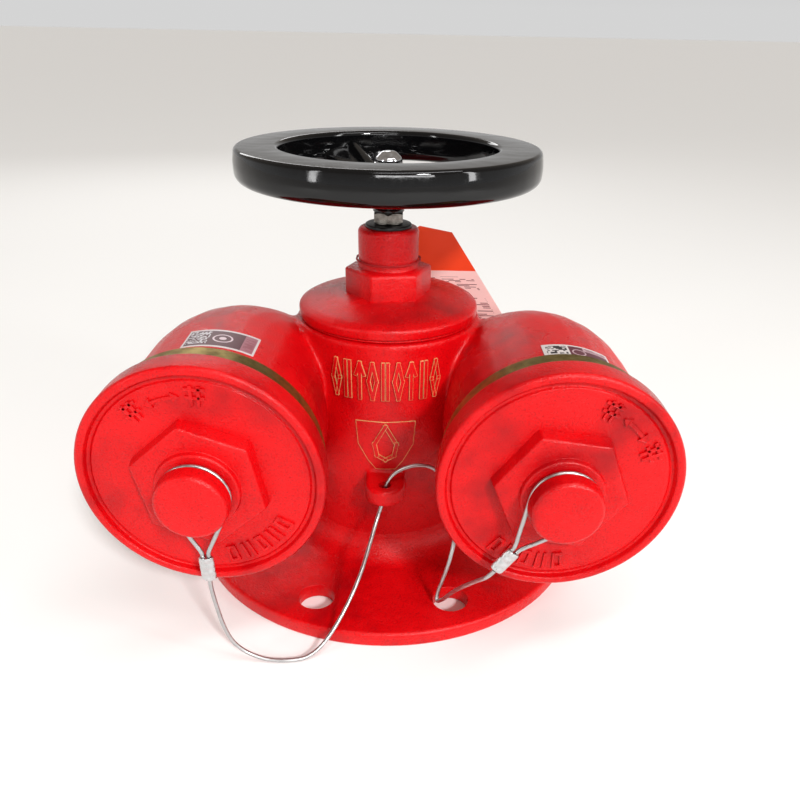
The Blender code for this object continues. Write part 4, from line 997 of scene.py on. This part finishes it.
# ---- Bonnet ----
@dataclass
class Bonnet:
    """Bonnet with its crown, hexagon and neck, and the black gland nut on top."""

    seat: float = 132 * MM
    radius: float = 45.5 * MM
    crown_top: float = 142.5 * MM
    hex_top: float = 154 * MM
    hex_radius: float = 22 * MM
    hex_turn: float = 39.0  # degrees
    neck_radius: float = 14.9 * MM
    neck_top: float = 173.2 * MM

    def build(self) -> None:
        """Model bonnet and gland nut."""
        shell = Bench.lathe("bonnet_casting", rounded([
            (10.2 * MM, self.neck_top), (self.neck_radius, self.neck_top, 3.4 * MM),
            (self.neck_radius, self.hex_top + 0.2 * MM, 4 * MM),
            (self.hex_radius - 3 * MM, self.hex_top - 0.6 * MM, 1 * MM),
            (self.hex_radius - 3.2 * MM, self.crown_top - 0.4 * MM, 0.8 * MM),
            (self.hex_radius + 5 * MM, self.crown_top - 0.9 * MM, 9 * MM),
            (self.radius - 4 * MM, self.seat + 6.6 * MM, 7 * MM),
            (self.radius, self.seat + 4.6 * MM, 2.2 * MM),
            (self.radius, self.seat, 0.8 * MM), (40.8 * MM, self.seat), (40.8 * MM, 123 * MM),
            (35.8 * MM, 123 * MM), (35.8 * MM, 131 * MM), (20 * MM, 131 * MM),
            (20 * MM, 118 * MM), (13.3 * MM, 118 * MM), (13.3 * MM, 139 * MM),
            (9 * MM, 139 * MM), (9 * MM, 158.2 * MM), (10.2 * MM, 158.2 * MM)]), 96, closed=True)
        bonnet = Bench.gather("bonnet_casting", [shell, self.hexagon()])
        Bench.settle(bonnet, UP)
        Bench.smooth(bonnet, 38)
        Bench.dress(bonnet, RED)
        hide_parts("bonnet")
        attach(bonnet, "valve_casing")
        gasket = Bench.settle(Bench.lathe("painted_gasket", rounded([
            (42 * MM, 131.7 * MM), (44.6 * MM, 131.7 * MM, 0.3 * MM),
            (44.6 * MM, 130.7 * MM, 0.3 * MM), (42 * MM, 130.7 * MM)], 2), 96, closed=True), UP)
        Bench.smooth(gasket)
        Bench.dress(gasket, RED)
        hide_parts("bonnet_gasket")
        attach(gasket, "valve_casing")
        self.gland()
        log.info("bonnet and gland")

    def hexagon(self) -> bpy.types.Object:
        """Shape the hexagon: soft cast edges, a dished top and a flared foot."""
        low = self.crown_top - 2.5 * MM
        body = Bench.drum("hexagon", self.hex_radius, low, self.hex_top, 6,
                          turn=math.radians(self.hex_turn))
        with Bench.edit(body, "FACE"):
            Bench.pick(body, "faces", lambda f: f.normal.z > 0.9)
            bpy.ops.mesh.inset(thickness=2.2 * MM, depth=0.9 * MM)
            bpy.ops.mesh.select_mode(type="EDGE")
            Bench.pick(body, "edges", lambda e: abs((e.verts[0].co - e.verts[1].co).z) > 5 * MM
                       or (min(v.co.z for v in e.verts) > self.hex_top - 0.1 * MM
                           and max(v.co.z for v in e.verts) < self.hex_top + 0.1 * MM))
            bpy.ops.mesh.bevel(offset=1.1 * MM, segments=3, affect="EDGES")
        return body

    def gland(self) -> None:
        """Turn the rounded black head and the plain shank below it."""
        nut = Bench.lathe("gland_head", rounded([
            (6.3 * MM, 174.8 * MM), (11.3 * MM, 174.8 * MM, 1 * MM), (11.3 * MM, 173.4 * MM),
            (9.7 * MM, 173.4 * MM), (9.7 * MM, 168.1 * MM), (6.3 * MM, 168.1 * MM)]), 72,
            closed=True)
        Bench.settle(nut, UP)
        Bench.smooth(nut)
        Bench.dress(nut, BLACK_MATT)
        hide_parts("gland_nut")
        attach(nut, "valve_casing")


# ---- Handwheel and spindle ----
@dataclass
class Handwheel:
    """Dished cast handwheel with three webbed spokes, and what holds it on."""

    radius: float = 71 * MM
    top: float = 209 * MM
    rim_height: float = 14.2 * MM
    rim_width: float = 20.7 * MM
    hub_radius: float = 12 * MM
    hub_low: float = 180.4 * MM
    hub_high: float = 195 * MM
    spoke_angle: float = 113.0

    def build(self) -> None:
        """Model wheel, nut, washer, spindle and seat nut."""
        parts = [self.rim(), self.hub()]
        parts += [self.spoke(self.spoke_angle + 120 * i) for i in range(3)]
        wheel = Bench.gather("enamelled_handwheel", parts)
        Bench.settle(wheel, UP)
        Bench.smooth(wheel, 50)
        Bench.dress(wheel, BLACK)
        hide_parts("handwheel")
        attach(wheel, "spindle")
        log.info("handwheel: %d faces", len(wheel.data.polygons))
        self.fasteners()

    def rim(self) -> bpy.types.Object:
        """Turn the D-shaped rim with its flat top."""
        low, inner = self.top - self.rim_height, self.radius - self.rim_width
        section = rounded([
            (inner + 8 * MM, self.top), (self.radius - 1.1 * MM, self.top, 2 * MM),
            (self.radius, self.top - 6.5 * MM, 40 * MM), (self.radius - 0.5 * MM, low, 8 * MM),
            (inner, low, 4 * MM), (inner, self.top, 2 * MM), (inner + 8 * MM, self.top)], 10)
        return Bench.lathe("rim", section[:-1], 160, closed=True)

    def hub(self) -> bpy.types.Object:
        """Turn the tapered hub, bored for the spindle."""
        return Bench.lathe("hub", rounded([
            (5.5 * MM, self.hub_high), (self.hub_radius, self.hub_high, 1.6 * MM),
            (self.hub_radius, self.hub_low + 4.4 * MM, 3 * MM),
            (7.6 * MM, self.hub_low + 1.4 * MM, 2.5 * MM), (7.6 * MM, self.hub_low, 0.4 * MM),
            (5.5 * MM, self.hub_low)]), 56, closed=True)

    def spoke(self, degrees: float) -> bpy.types.Object:
        """Shape one spoke: a web that flares into hub and rim, with a rib along its top."""
        start, end = self.hub_radius * 0.6, self.radius - self.rim_width + 4 * MM
        web = Bench.block("spoke", (0, 0, 0), (2, 2, 2), cuts=27)

        def move(at: Vector) -> Vector:
            """Take the divided block to the spoke's shape."""
            t = (at.x + 1) / 2
            r = start + (end - start) * t
            into_rim = math.exp(-(end - 3 * MM - r) / (4.5 * MM)) if r < end - 3 * MM else 1.0
            into_hub = math.exp(-(r - self.hub_radius) / (3.5 * MM)) if r > self.hub_radius else 1.0
            half = (8.5 + 6.0 * t) * MM + 6.5 * MM * into_rim + 2.5 * MM * into_hub
            middle = (187.9 + (199.4 - 187.9) * t) * MM
            thick = 2.25 * MM + 2.2 * MM * into_rim + 0.9 * MM * into_hub
            v = at.y
            edge = (1 - min(1, abs(v)) ** 6) ** 0.5 * 0.72 + 0.28
            z = middle + at.z * thick * edge
            if at.z > 0:
                crest = (195.4 + (206.2 - 195.4) * t) * MM
                rib = math.exp(-(abs(v * half) / (2.7 * MM)) ** 3.2)
                z += (crest - middle - thick) * rib * at.z
            return Vector((r, v * half, z))

        Bench.reshape(web, move)
        return Bench.settle(web, Matrix.Rotation(math.radians(degrees), 4, "Z"))

    def nut(self, name: str, radius: float, bore: float, low: float, high: float,
            chamfer: float) -> bpy.types.Object:
        """Model a hexagon nut with chamfered corners and a round bore."""
        body = Bench.drum(name, radius, low, high, 6)
        crown = Bench.lathe("crown", [
            (0, high + 0.01 * MM), (radius * 0.87, high + 0.01 * MM), (radius * 1.02, high - chamfer),
            (radius * 1.02, low + chamfer), (radius * 0.87, low - 0.01 * MM),
            (0, low - 0.01 * MM)], 48)
        Bench.combine(body, crown, "INTERSECT")
        if bore:
            Bench.combine(body, Bench.drum("bore", bore, low - 1 * MM, high + 1 * MM, 40),
                          "DIFFERENCE")
        return body

    def fasteners(self) -> None:
        """Model the dome nut, its washer, the hexagon under the wheel and the spindle."""
        base = self.nut("dome_nut", 7.5 * MM, 4.5 * MM, 197.1 * MM, 202 * MM, 0.8 * MM)
        dome = Bench.lathe("dome", rounded([
            (0, 206.7 * MM), (3.2 * MM, 206.4 * MM, 3 * MM), (6.4 * MM, 203.6 * MM, 2.5 * MM),
            (6.4 * MM, 201.5 * MM), (4.4 * MM, 201.5 * MM), (4.4 * MM, 202.8 * MM),
            (0, 203.5 * MM)], 6), 48)
        nut = Bench.settle(Bench.gather("chrome_dome_nut", [base, dome]), UP)
        washer = Bench.settle(Bench.lathe("spring_washer", rounded([
            (4.5 * MM, 196.8 * MM), (8 * MM, 196.8 * MM, 0.3 * MM), (8 * MM, 195.3 * MM, 0.3 * MM),
            (4.5 * MM, 195.3 * MM)], 2), 56, closed=True), UP)
        seat = Bench.settle(self.nut("seat_hexagon", 7.9 * MM, 5.5 * MM, 175.2 * MM, 180.1 * MM,
                                     0.9 * MM), UP)
        spindle = Bench.settle(self.spindle(), UP)
        for piece, node, finish in ((nut, "wheel_nut", CHROME), (washer, "wheel_washer", CHROME),
                                    (seat, "wheel_seat_nut", STEEL), (spindle, "stem", STEEL)):
            Bench.smooth(piece, 32)
            Bench.dress(piece, finish)
            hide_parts(node)
            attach(piece, "spindle")
        log.info("spindle and fasteners")

    def spindle(self) -> bpy.types.Object:
        """Turn the spindle with its rolled thread ridges and its foot."""
        pitch = 5 * MM
        thread = []
        z = 134 * MM
        while z > 66 * MM:
            thread += [(8 * MM, z), (8 * MM, z - 0.45 * pitch), (6.9 * MM, z - 0.55 * pitch),
                       (6.9 * MM, z - 0.92 * pitch)]
            z -= pitch
        return Bench.lathe("turned_spindle", [
            (0, 202 * MM), (3.4 * MM, 202 * MM), (4 * MM, 201.4 * MM), (4 * MM, 192 * MM),
            (5.2 * MM, 192 * MM), (5.2 * MM, 174.9 * MM), (6 * MM, 174.3 * MM), (6 * MM, 137 * MM),
            *thread, (7 * MM, 64 * MM), (10 * MM, 64 * MM), (10 * MM, 60.3 * MM),
            (0, 60.3 * MM)], 48)


# ---- Hose caps ----
@dataclass
class HoseCap:
    """A screw cap with hexagon, collar, rope groove and knob, on its brass nipple."""

    side: Side
    radius: float = 52 * MM
    back: float = 96.5 * MM
    face: float = 108.5 * MM
    rim: float = 110.5 * MM
    hex_front: float = 115 * MM
    collar: float = 117.8 * MM
    knob_back: float = 122.2 * MM
    knob_front: float = 130 * MM

    def build(self) -> None:
        """Model cap, marks, nipple and the nipple's gasket."""
        parts = [self.shell(), self.hexagon(), *self.marks()]
        cap = Bench.settle(Bench.gather(f"{self.side.word}_screw_cap", parts), self.side.hose_frame)
        Bench.smooth(cap, 38)
        Bench.dress(cap, RED)
        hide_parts(f"{self.side.word}_cap")
        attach(cap, f"{self.side.word}_cap_body")
        self.nipple()
        log.info("%s cap", self.side.word)

    def shell(self) -> bpy.types.Object:
        """Turn the cap's plate, skirt, collar and knob."""
        inner = self.radius - 3.8 * MM
        return Bench.lathe("shell", rounded([
            (0, self.knob_front), (14.6 * MM, self.knob_front - 0.25 * MM, 2.2 * MM),
            (15.5 * MM, self.knob_back, 0.9 * MM), (12.5 * MM, self.knob_back, 0.4 * MM),
            (12.5 * MM, self.collar, 0.5 * MM), (17.5 * MM, self.collar, 1.1 * MM),
            (17.9 * MM, self.hex_front, 0.8 * MM), (24 * MM, self.hex_front - 0.6 * MM),
            (24 * MM, self.face), (inner - 3 * MM, self.face, 0.6 * MM),
            (inner - 2.2 * MM, self.face - 0.9 * MM, 0.6 * MM),
            (inner - 0.8 * MM, self.face - 0.9 * MM, 0.7 * MM),
            (inner, self.rim, 1.2 * MM), (self.radius, self.rim, 2.7 * MM),
            (self.radius, self.back, 1.1 * MM), (49 * MM, self.back, 0.4 * MM),
            (46.3 * MM, self.back + 1.6 * MM), (46.3 * MM, 106 * MM), (0, 106 * MM)], 5), 128)

    def hexagon(self) -> bpy.types.Object:
        """Shape the slanted hexagon boss with soft cast edges."""
        turn = math.radians(10 if self.side is Side.LEFT else 23)
        boss = Bench.drum("boss", 30 * MM, self.face - 1.5 * MM, self.hex_front, 6, turn=turn)
        with Bench.edit(boss, "FACE"):
            Bench.pick(boss, "faces", lambda f: f.normal.z > 0.9)
            bpy.ops.transform.resize(value=(0.953, 0.953, 1), center_override=(0, 0, 0))
            bpy.ops.mesh.inset(thickness=4.5 * MM, depth=0.15 * MM)
            bpy.ops.mesh.select_mode(type="EDGE")
            Bench.pick(boss, "edges", lambda e: all(
                v.co.xy.length > 27.5 * MM for v in e.verts) and max(
                v.co.z for v in e.verts) > self.hex_front - 0.5 * MM)
            bpy.ops.mesh.bevel(offset=0.9 * MM, segments=3, affect="EDGES")
        return boss

    def marks(self) -> list[bpy.types.Object]:
        """Raise a double arrow along an arc, plain signs at its ends and a row of studs."""
        tilt = 106 if self.side is Side.LEFT else 46
        radius, half = 39 * MM, 0.8 * MM

        def ring_point(r: float, degrees: float) -> Point:
            """Return a point on the cap's face by radius and angle."""
            return (r * math.cos(math.radians(degrees)), r * math.sin(math.radians(degrees)))

        def patch(middle: float, a: float, b: float, low: float, high: float) -> list[Point]:
            """Return a small four-sided outline between two angles and two radii."""
            return [ring_point(radius + r * MM, middle + t) for r, t in (
                (low, a), (high, a), (high, b), (low, b))]

        span = range(-7, 8, 2)
        shaft = [ring_point(radius + half, tilt + a) for a in span]
        shaft += [ring_point(radius - half, tilt + a) for a in reversed(span)]
        outlines = [shaft]
        for sign in (-1, 1):
            outlines.append([ring_point(radius, tilt + sign * 11), ring_point(
                radius + 2.3 * MM, tilt + sign * 6.5), ring_point(
                radius - 2.3 * MM, tilt + sign * 6.5)])
            middle = tilt + sign * 20
            outlines += [patch(middle, -5.6, 5.6, 2.6, 4.0), patch(middle, -5.6, 5.6, -1.0, 0.4),
                         patch(middle, -3.2, -1.2, -4.2, 4.6), patch(middle, 1.2, 3.2, -4.2, 4.6)]
        low = -55 if self.side is Side.LEFT else -106
        for k in range(5):
            middle = low + 11 * (k - 2)
            outlines.append(patch(middle, -3.4, -1.5, -4.2, 4.2))
            if k % 2:
                outlines.append(patch(middle, 1.5, 3.4, -4.2, 4.2))
            else:
                outlines += [patch(middle, -1.5, 3.4, 2.8, 4.2), patch(middle, -1.5, 3.4, -4.2, -2.8),
                             patch(middle, 1.5, 3.4, -2.8, 2.8)]
        parts = []
        for outline in outlines:
            mark = Bench.emboss("mark", outline, 0.9 * MM, 0.22 * MM)
            parts.append(Bench.settle(mark, Matrix.Translation((0, 0, self.face))))
        return parts

    def nipple(self) -> None:
        """Turn the brass nipple with its thread, and its fibre gasket."""
        word, frame = self.side.word, self.side.hose_frame
        ridges = []
        for k in range(3):
            z = 102.9 - k * 2.3
            ridges += [(45.8 * MM, (z - 0.3) * MM), (45.8 * MM, (z - 0.8) * MM),
                       (44.7 * MM, (z - 1.4) * MM), (44.7 * MM, (z - 1.8) * MM)]
        nipple = Bench.settle(Bench.lathe("nipple", [
            (32.5 * MM, 103.5 * MM), (44.8 * MM, 103.5 * MM), *ridges, (44.7 * MM, 96 * MM),
            (49.1 * MM, 96 * MM), (49.5 * MM, 95.6 * MM), (49.5 * MM, 84.6 * MM),
            (49.0 * MM, 84.1 * MM), (41 * MM, 84.1 * MM), (41 * MM, 67.5 * MM),
            (32.5 * MM, 67.5 * MM)], 112, closed=True), frame)
        nipple.name = f"{word}_brass_nipple"
        Bench.smooth(nipple, 30)
        Bench.dress(nipple, BRASS)
        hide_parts(f"{word}_nipple")
        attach(nipple, "valve_casing")
        gasket = Bench.settle(Bench.lathe("gasket", rounded([
            (42 * MM, 83.8 * MM), (48 * MM, 83.8 * MM, 0.3 * MM), (48 * MM, 82.8 * MM, 0.3 * MM),
            (42 * MM, 82.8 * MM)], 2), 96, closed=True), frame)
        gasket.name = f"{word}_fibre_gasket"
        Bench.smooth(gasket)
        Bench.dress(gasket, FIBRE)
        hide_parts(f"{word}_nipple_gasket")
        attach(gasket, "valve_casing")


# ---- Wire ropes ----
LEFT_ROUTE = (
    (0, -59.5, 57.6), (-1.2, -60.6, 52), (-4.2, -65, 43), (-7.5, -76, 35), (-11.5, -90, 27.5),
    (-18.5, -104, 17), (-27, -114, 7), (-35, -119.5, 2.4), (-44, -121.5, 1.7),
    (-54, -121.5, 2.2), (-63, -120.5, 5.5), (-69, -120.2, 12), (-72.2, -120.3, 22),
    (-74, -120.2, 34), (-75, -120, 44), (-75, -120, 50.2))
RIGHT_ROUTE = (
    (0, -59.5, 57.9), (0.8, -58.8, 62), (4.2, -56.8, 66.6), (10.5, -54, 69), (18, -51.5, 69),
    (25, -51, 66.5), (30.5, -57, 61.5), (34.2, -68, 54.5), (35, -79, 46), (33, -85, 36),
    (30.2, -86, 24.5), (27.8, -86.6, 15.8), (27.4, -88.6, 11.4), (30.2, -91.6, 15.2),
    (34, -96.5, 24), (38.5, -104, 34.5), (43.2, -111.5, 44.2), (46.8, -118.2, 52.3),
    (49.8, -120, 57.6))


@dataclass
class RopeTether:
    """A stranded wire rope from the lug to a crimped ferrule and the eye round a knob."""

    side: Side
    route: tuple[tuple[float, float, float], ...]
    tilt: float
    rope_radius: float = 1 * MM
    lay: float = 11 * MM  # length of one full turn of the strands
    plane: float = 120 * MM
    eye_radius: float = 13.9 * MM
    ferrule_start: float = 31.5 * MM
    ferrule_length: float = 12 * MM

    def build(self) -> None:
        """Model the tether, the eye and the ferrule."""
        word = self.side.word
        points = smooth_route([Vector((x, y + 10, z)) * MM for x, y, z in self.route], 1.1 * MM)
        tether = self.strand(f"{word}_rope", points)
        eye = self.strand(f"{word}_rope_eye", self.eye_points())
        ferrule = self.ferrule()
        for piece, node in ((tether, "tether"), (eye, "cable_loop"), (ferrule, "ferrule")):
            finish = ALUMINIUM if node == "ferrule" else ROPE
            Bench.dress(piece, finish)
            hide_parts(f"{word}_{node}")
        for piece in (eye, ferrule):
            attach(piece, f"{word}_rope_end")
        length = sum((b - a).length for a, b in zip(points, points[1:]))
        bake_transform(tether)
        log.info("%s tether, %.0f mm", word, length * 1000)

    def strand(self, name: str, points: Sequence[Vector]) -> bpy.types.Object:
        """Twist six strands round a path as one closed tube."""
        sides, strands = 30, 6
        bpy.ops.object.select_all(action="DESELECT")
        bpy.ops.mesh.primitive_cylinder_add(vertices=sides, radius=1, depth=1)
        obj = bpy.context.object
        obj.name = name
        normal = (points[1] - points[0]).orthogonal().normalized()
        along = 0.0
        rings: list[list[Vector]] = []
        for i, point in enumerate(points):
            before, after = points[max(i - 1, 0)], points[min(i + 1, len(points) - 1)]
            tangent = (after - before).normalized()
            normal = (normal - tangent * normal.dot(tangent)).normalized()
            cross = tangent.cross(normal)
            if i:
                along += (point - points[i - 1]).length
            twist = 2 * math.pi * along / self.lay
            ring = []
            for k in range(sides):
                a = 2 * math.pi * k / sides
                lobe = 0.86 + 0.14 * abs(math.cos(strands * (a - twist) / 2))
                ring.append(point + (normal * math.cos(a) + cross * math.sin(a))
                            * self.rope_radius * lobe)
            rings.append(ring)
        mesh = obj.data
        mesh.clear_geometry()
        verts = [v for ring in rings for v in ring]
        faces = [[r * sides + k, r * sides + (k + 1) % sides, (r + 1) * sides + (k + 1) % sides,
                  (r + 1) * sides + k] for r in range(len(rings) - 1) for k in range(sides)]
        faces += [list(reversed(range(sides))),
                  [(len(rings) - 1) * sides + k for k in range(sides)]]
        mesh.from_pydata(verts, [], faces)
        with Bench.edit(obj):
            bpy.ops.mesh.select_all(action="SELECT")
            bpy.ops.mesh.normals_make_consistent(inside=False)
        return Bench.smooth(obj, 60)

    def eye_points(self) -> list[Vector]:
        """Return the path of the eye round the knob's groove, in the object's frame."""
        tangent = math.acos(self.eye_radius / self.ferrule_start)
        offset = self.rope_radius + 0.3 * MM
        start = Vector((offset, -(self.ferrule_start - 0.3 * MM), self.plane))
        first = Vector((self.eye_radius * math.sin(tangent), -self.eye_radius
                        * math.cos(tangent), self.plane))
        neck = Vector((offset * 1.3, -(self.ferrule_start - 3 * MM), self.plane))
        points = [start, neck, neck.lerp(first, 0.3), neck.lerp(first, 0.65)]
        turns = 14
        for i in range(turns + 1):
            angle = -math.pi / 2 + tangent + (2 * math.pi - 2 * tangent) * i / turns
            points.append(Vector((self.eye_radius * math.cos(angle),
                                  self.eye_radius * math.sin(angle), self.plane)))
        points += [Vector((-p.x, p.y, p.z)) for p in reversed(points[:4])]
        matrix = self.side.hose_frame @ Matrix.Rotation(math.radians(self.tilt), 4, "Z")
        return smooth_route([matrix @ p for p in points], 1.1 * MM)

    def ferrule(self) -> bpy.types.Object:
        """Press an oval sleeve with three crimps."""
        middle = self.ferrule_start + self.ferrule_length / 2
        sleeve = Bench.block("sleeve", (0, 0, 0), (2, 2, 2), cuts=21)

        def move(at: Vector) -> Vector:
            """Take the divided block to an oval sleeve, squeezed at the crimps."""
            x, z = at.x, at.z
            flat = max(abs(x), abs(z))
            length = math.hypot(x, z) or 1
            round_x, round_z = x * flat / length, z * flat / length
            squeeze = sum(math.exp(-((at.y - c) / 0.13) ** 2) for c in (-0.55, 0.0, 0.55))
            end = 1 - 0.12 * max(0.0, (abs(at.y) - 0.9) / 0.1)
            return Vector((round_x * 3.2 * MM * (end + 0.05 * squeeze),
                           at.y * self.ferrule_length / 2 - middle,
                           self.plane + round_z * 2.1 * MM * (end - 0.20 * squeeze)))

        Bench.reshape(sleeve, move)
        matrix = self.side.hose_frame @ Matrix.Rotation(math.radians(self.tilt), 4, "Z")
        Bench.settle(sleeve, matrix)
        sleeve.name = f"{self.side.word}_crimped_ferrule"
        return Bench.smooth(sleeve, 50)


# ---- Hang tag ----
@dataclass
class HangTag:
    """A printed card on a string round the neck."""

    width: float = 44 * MM
    length: float = 92 * MM
    corner: float = 13 * MM
    tilt: float = 34.8
    top: Point = (8.4 * MM, 157.5 * MM)
    plane: float = 48.8 * MM
    slant: float = 0.69  # the print runs level while the card hangs askew

    def build(self) -> None:
        """Cut the card and print it."""
        w, n, c = self.width / 2, self.length, self.corner
        card = Bench.chain("printed_card", [
            (-w + c, 0, 0), (w - c, 0, 0), (w, -c, 0), (w, -n, 0), (-w, -n, 0), (-w, -c, 0),
            (-w + c, 0, 0)])
        with Bench.edit(card, "EDGE"):
            bpy.ops.mesh.select_all(action="SELECT")
            bpy.ops.mesh.remove_doubles(threshold=0.01 * MM)
            bpy.ops.mesh.select_all(action="SELECT")
            bpy.ops.mesh.edge_face_add()
            bpy.ops.mesh.extrude_region_move(TRANSFORM_OT_translate={"value": (0, 0, 0.6 * MM)})
            bpy.ops.mesh.select_all(action="SELECT")
            bpy.ops.mesh.normals_make_consistent(inside=False)
        hole = Bench.drum("hole", 2.4 * MM, -2 * MM, 3 * MM, 32, (0, -8 * MM))
        Bench.combine(card, hole, "DIFFERENCE")
        with Bench.edit(card, "EDGE"):
            for y in range(-88, -4, 4):
                bpy.ops.mesh.select_all(action="SELECT")
                bpy.ops.mesh.bisect(plane_co=(0, y * MM, 0), plane_no=(0, 1, 0))
        uv = card.data.uv_layers.get("print") or card.data.uv_layers.new(name="print")
        for loop in card.data.loops:
            at = card.data.vertices[loop.vertex_index].co
            uv.data[loop.index].uv = (at.x / self.width + 0.5,
                                      1 + (at.y + self.slant * at.x) / self.length)
        curl = 1.1 * MM
        Bench.reshape(card, lambda at: Vector((at.x, at.y, at.z - 0.3 * MM + curl * math.sin(
            math.pi * at.y / self.length) * (1 - (at.x / w) ** 2 * 0.5))))
        matrix = (Matrix.Translation((self.top[0], AXIS_Y + self.plane, self.top[1]))
                  @ Matrix.Rotation(math.pi / 2, 4, "X")
                  @ Matrix.Rotation(math.radians(self.tilt), 4, "Z"))
        Bench.settle(card, matrix)
        Bench.smooth(card, 30)
        Bench.dress(card, TAG_PRINT)
        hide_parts("hang_tag")
        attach(card, "valve_casing")
        log.info("hang tag")


# ---- Stage ----
@dataclass
class Studio:
    """Pale floor, soft lights and the camera."""

    eye: tuple[float, float, float] = (0.00994, -0.34882, 0.25459)
    yaw: float = 0.318
    pitch: float = -33.49
    roll: float = 1.18
    focal: float = 708.27  # in pixels of an 800 x 800 image
    middle: Point = (407.64, 494.38)
    low_sky: float = 0.66
    high_sky: float = 0.26

    def build(self) -> None:
        """Add the floor, the world, the lights and the camera."""
        self.floor()
        self.lights()
        self.camera()
        bpy.context.scene.view_settings.view_transform = "Standard"

    def floor(self) -> None:
        """Lay a wide floor of matt white paper and set the sky behind it."""
        bpy.ops.object.select_all(action="DESELECT")
        bpy.ops.mesh.primitive_plane_add(size=60, location=(0, 0, -0.05 * MM))
        floor = bpy.context.object
        floor.name = "studio_floor"
        paper = bpy.data.materials.new("matt_white_paper")
        paper.use_nodes = True
        shader = paper.node_tree.nodes["Principled BSDF"]
        shader.inputs["Base Color"].default_value = linear("F4F4F3")
        shader.inputs["Roughness"].default_value = 0.9
        floor.data.materials.append(paper)
        world = bpy.data.worlds.new("studio_sky")
        world.use_nodes = True
        sky = world.node_tree.nodes["Background"]
        place = add_node(world, "ShaderNodeTexCoord").outputs["Generated"]
        height = add_node(world, "ShaderNodeSeparateXYZ", {0: place}).outputs["Z"]
        shade = add_node(world, "ShaderNodeValToRGB", {"Fac": height}, stops=(
            (0.02, (self.low_sky,) * 3 + (1,)),
            (0.35, (self.high_sky * 1.12, self.high_sky, self.high_sky * 0.88, 1))))
        world.node_tree.links.new(shade.outputs["Color"], sky.inputs["Color"])
        bpy.context.scene.world = world

    def lights(self) -> None:
        """Hang one soft sun and five softboxes round the object."""
        sun = bpy.data.lights.new("soft_sun", "SUN")
        sun.energy, sun.angle = 2.35, math.radians(7)
        lamp = bpy.data.objects.new("soft_sun", sun)
        lamp.rotation_euler = Vector((0.40, -0.74, 0.60)).to_track_quat("Z", "Y").to_euler()
        bpy.context.scene.collection.objects.link(lamp)
        aim = Vector((0, 0, 0.12))
        for name, place, size, power in (
                ("overhead_strip", (0.25, -0.35, 1.1), (0.9, 0.10), 4.0),
                ("front_window", (0.30, -1.35, 0.55), (1.0, 0.10), 5.0),
                ("right_softbox", (1.0, -0.55, 0.55), (0.12, 0.6), 3.0),
                ("left_softbox", (-0.95, -0.75, 0.5), (0.10, 0.6), 2.5),
                ("rear_softbox", (-0.4, 1.2, 0.7), (0.8, 0.2), 2.0)):
            data = bpy.data.lights.new(name, "AREA")
            data.shape, data.size, data.size_y, data.energy = "RECTANGLE", *size, power
            lamp = bpy.data.objects.new(name, data)
            lamp.location = place
            lamp.rotation_euler = (aim - Vector(place)).to_track_quat("-Z", "Y").to_euler()
            bpy.context.scene.collection.objects.link(lamp)

    def camera(self) -> None:
        """Stand the camera at its solved place."""
        yaw, pitch, roll = (math.radians(a) for a in (self.yaw, self.pitch, self.roll))
        forward = Vector((math.sin(yaw) * math.cos(pitch), math.cos(yaw) * math.cos(pitch),
                          math.sin(pitch)))
        right = Vector((math.cos(yaw), -math.sin(yaw), 0))
        up = right.cross(forward)
        x = right * math.cos(roll) + up * math.sin(roll)
        y = up * math.cos(roll) - right * math.sin(roll)
        data = bpy.data.cameras.new("front_camera")
        data.sensor_width = 36
        data.lens = self.focal * 36 / 800
        data.shift_x = (400 - self.middle[0]) / 800
        data.shift_y = (self.middle[1] - 400) / 800
        data.clip_start = 0.01
        camera = bpy.data.objects.new("front_camera", data)
        camera.matrix_world = (Matrix.Translation(self.eye)
                               @ Matrix((x, y, -forward)).transposed().to_4x4())
        bpy.context.scene.collection.objects.link(camera)
        bpy.context.scene.camera = camera


# ---- Pieces that keep their solid ----
INNER_FINISHES = {
    "seat_ring": BRASS_UP, "stem_nut": BRASS_UP, "packing_washer": BRASS_UP,
    "valve_disc": BRASS_UP, "seal_washer": BRASS_UP, "seal_nut": BRASS_UP,
    "disc_lock_nut": BRASS_UP, "disc_seal": RUBBER, "left_cap_gasket": RUBBER,
    "right_cap_gasket": RUBBER, "packing_ring_1": FIBRE, "packing_ring_2": FIBRE,
    "packing_ring_3": FIBRE, "tag_string": STRING}


def main() -> None:
    """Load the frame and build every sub-assembly."""
    logging.basicConfig(level=logging.INFO, format="%(name)s: %(message)s")
    for obj in list(bpy.data.objects):
        bpy.data.objects.remove(obj, do_unlink=True)
    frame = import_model()
    Studio().build()
    for side, route, tilt in ((Side.LEFT, LEFT_ROUTE, 0.0), (Side.RIGHT, RIGHT_ROUTE, -34.7)):
        RopeTether(side, route, tilt).build()
    Casting().build()
    Bonnet().build()
    Handwheel().build()
    for side in Side:
        HoseCap(side).build()
    HangTag().build()
    for node, finish in INNER_FINISHES.items():
        Bench.dress(frame["nodes"][node], finish)


if __name__ == "__main__":
    main()
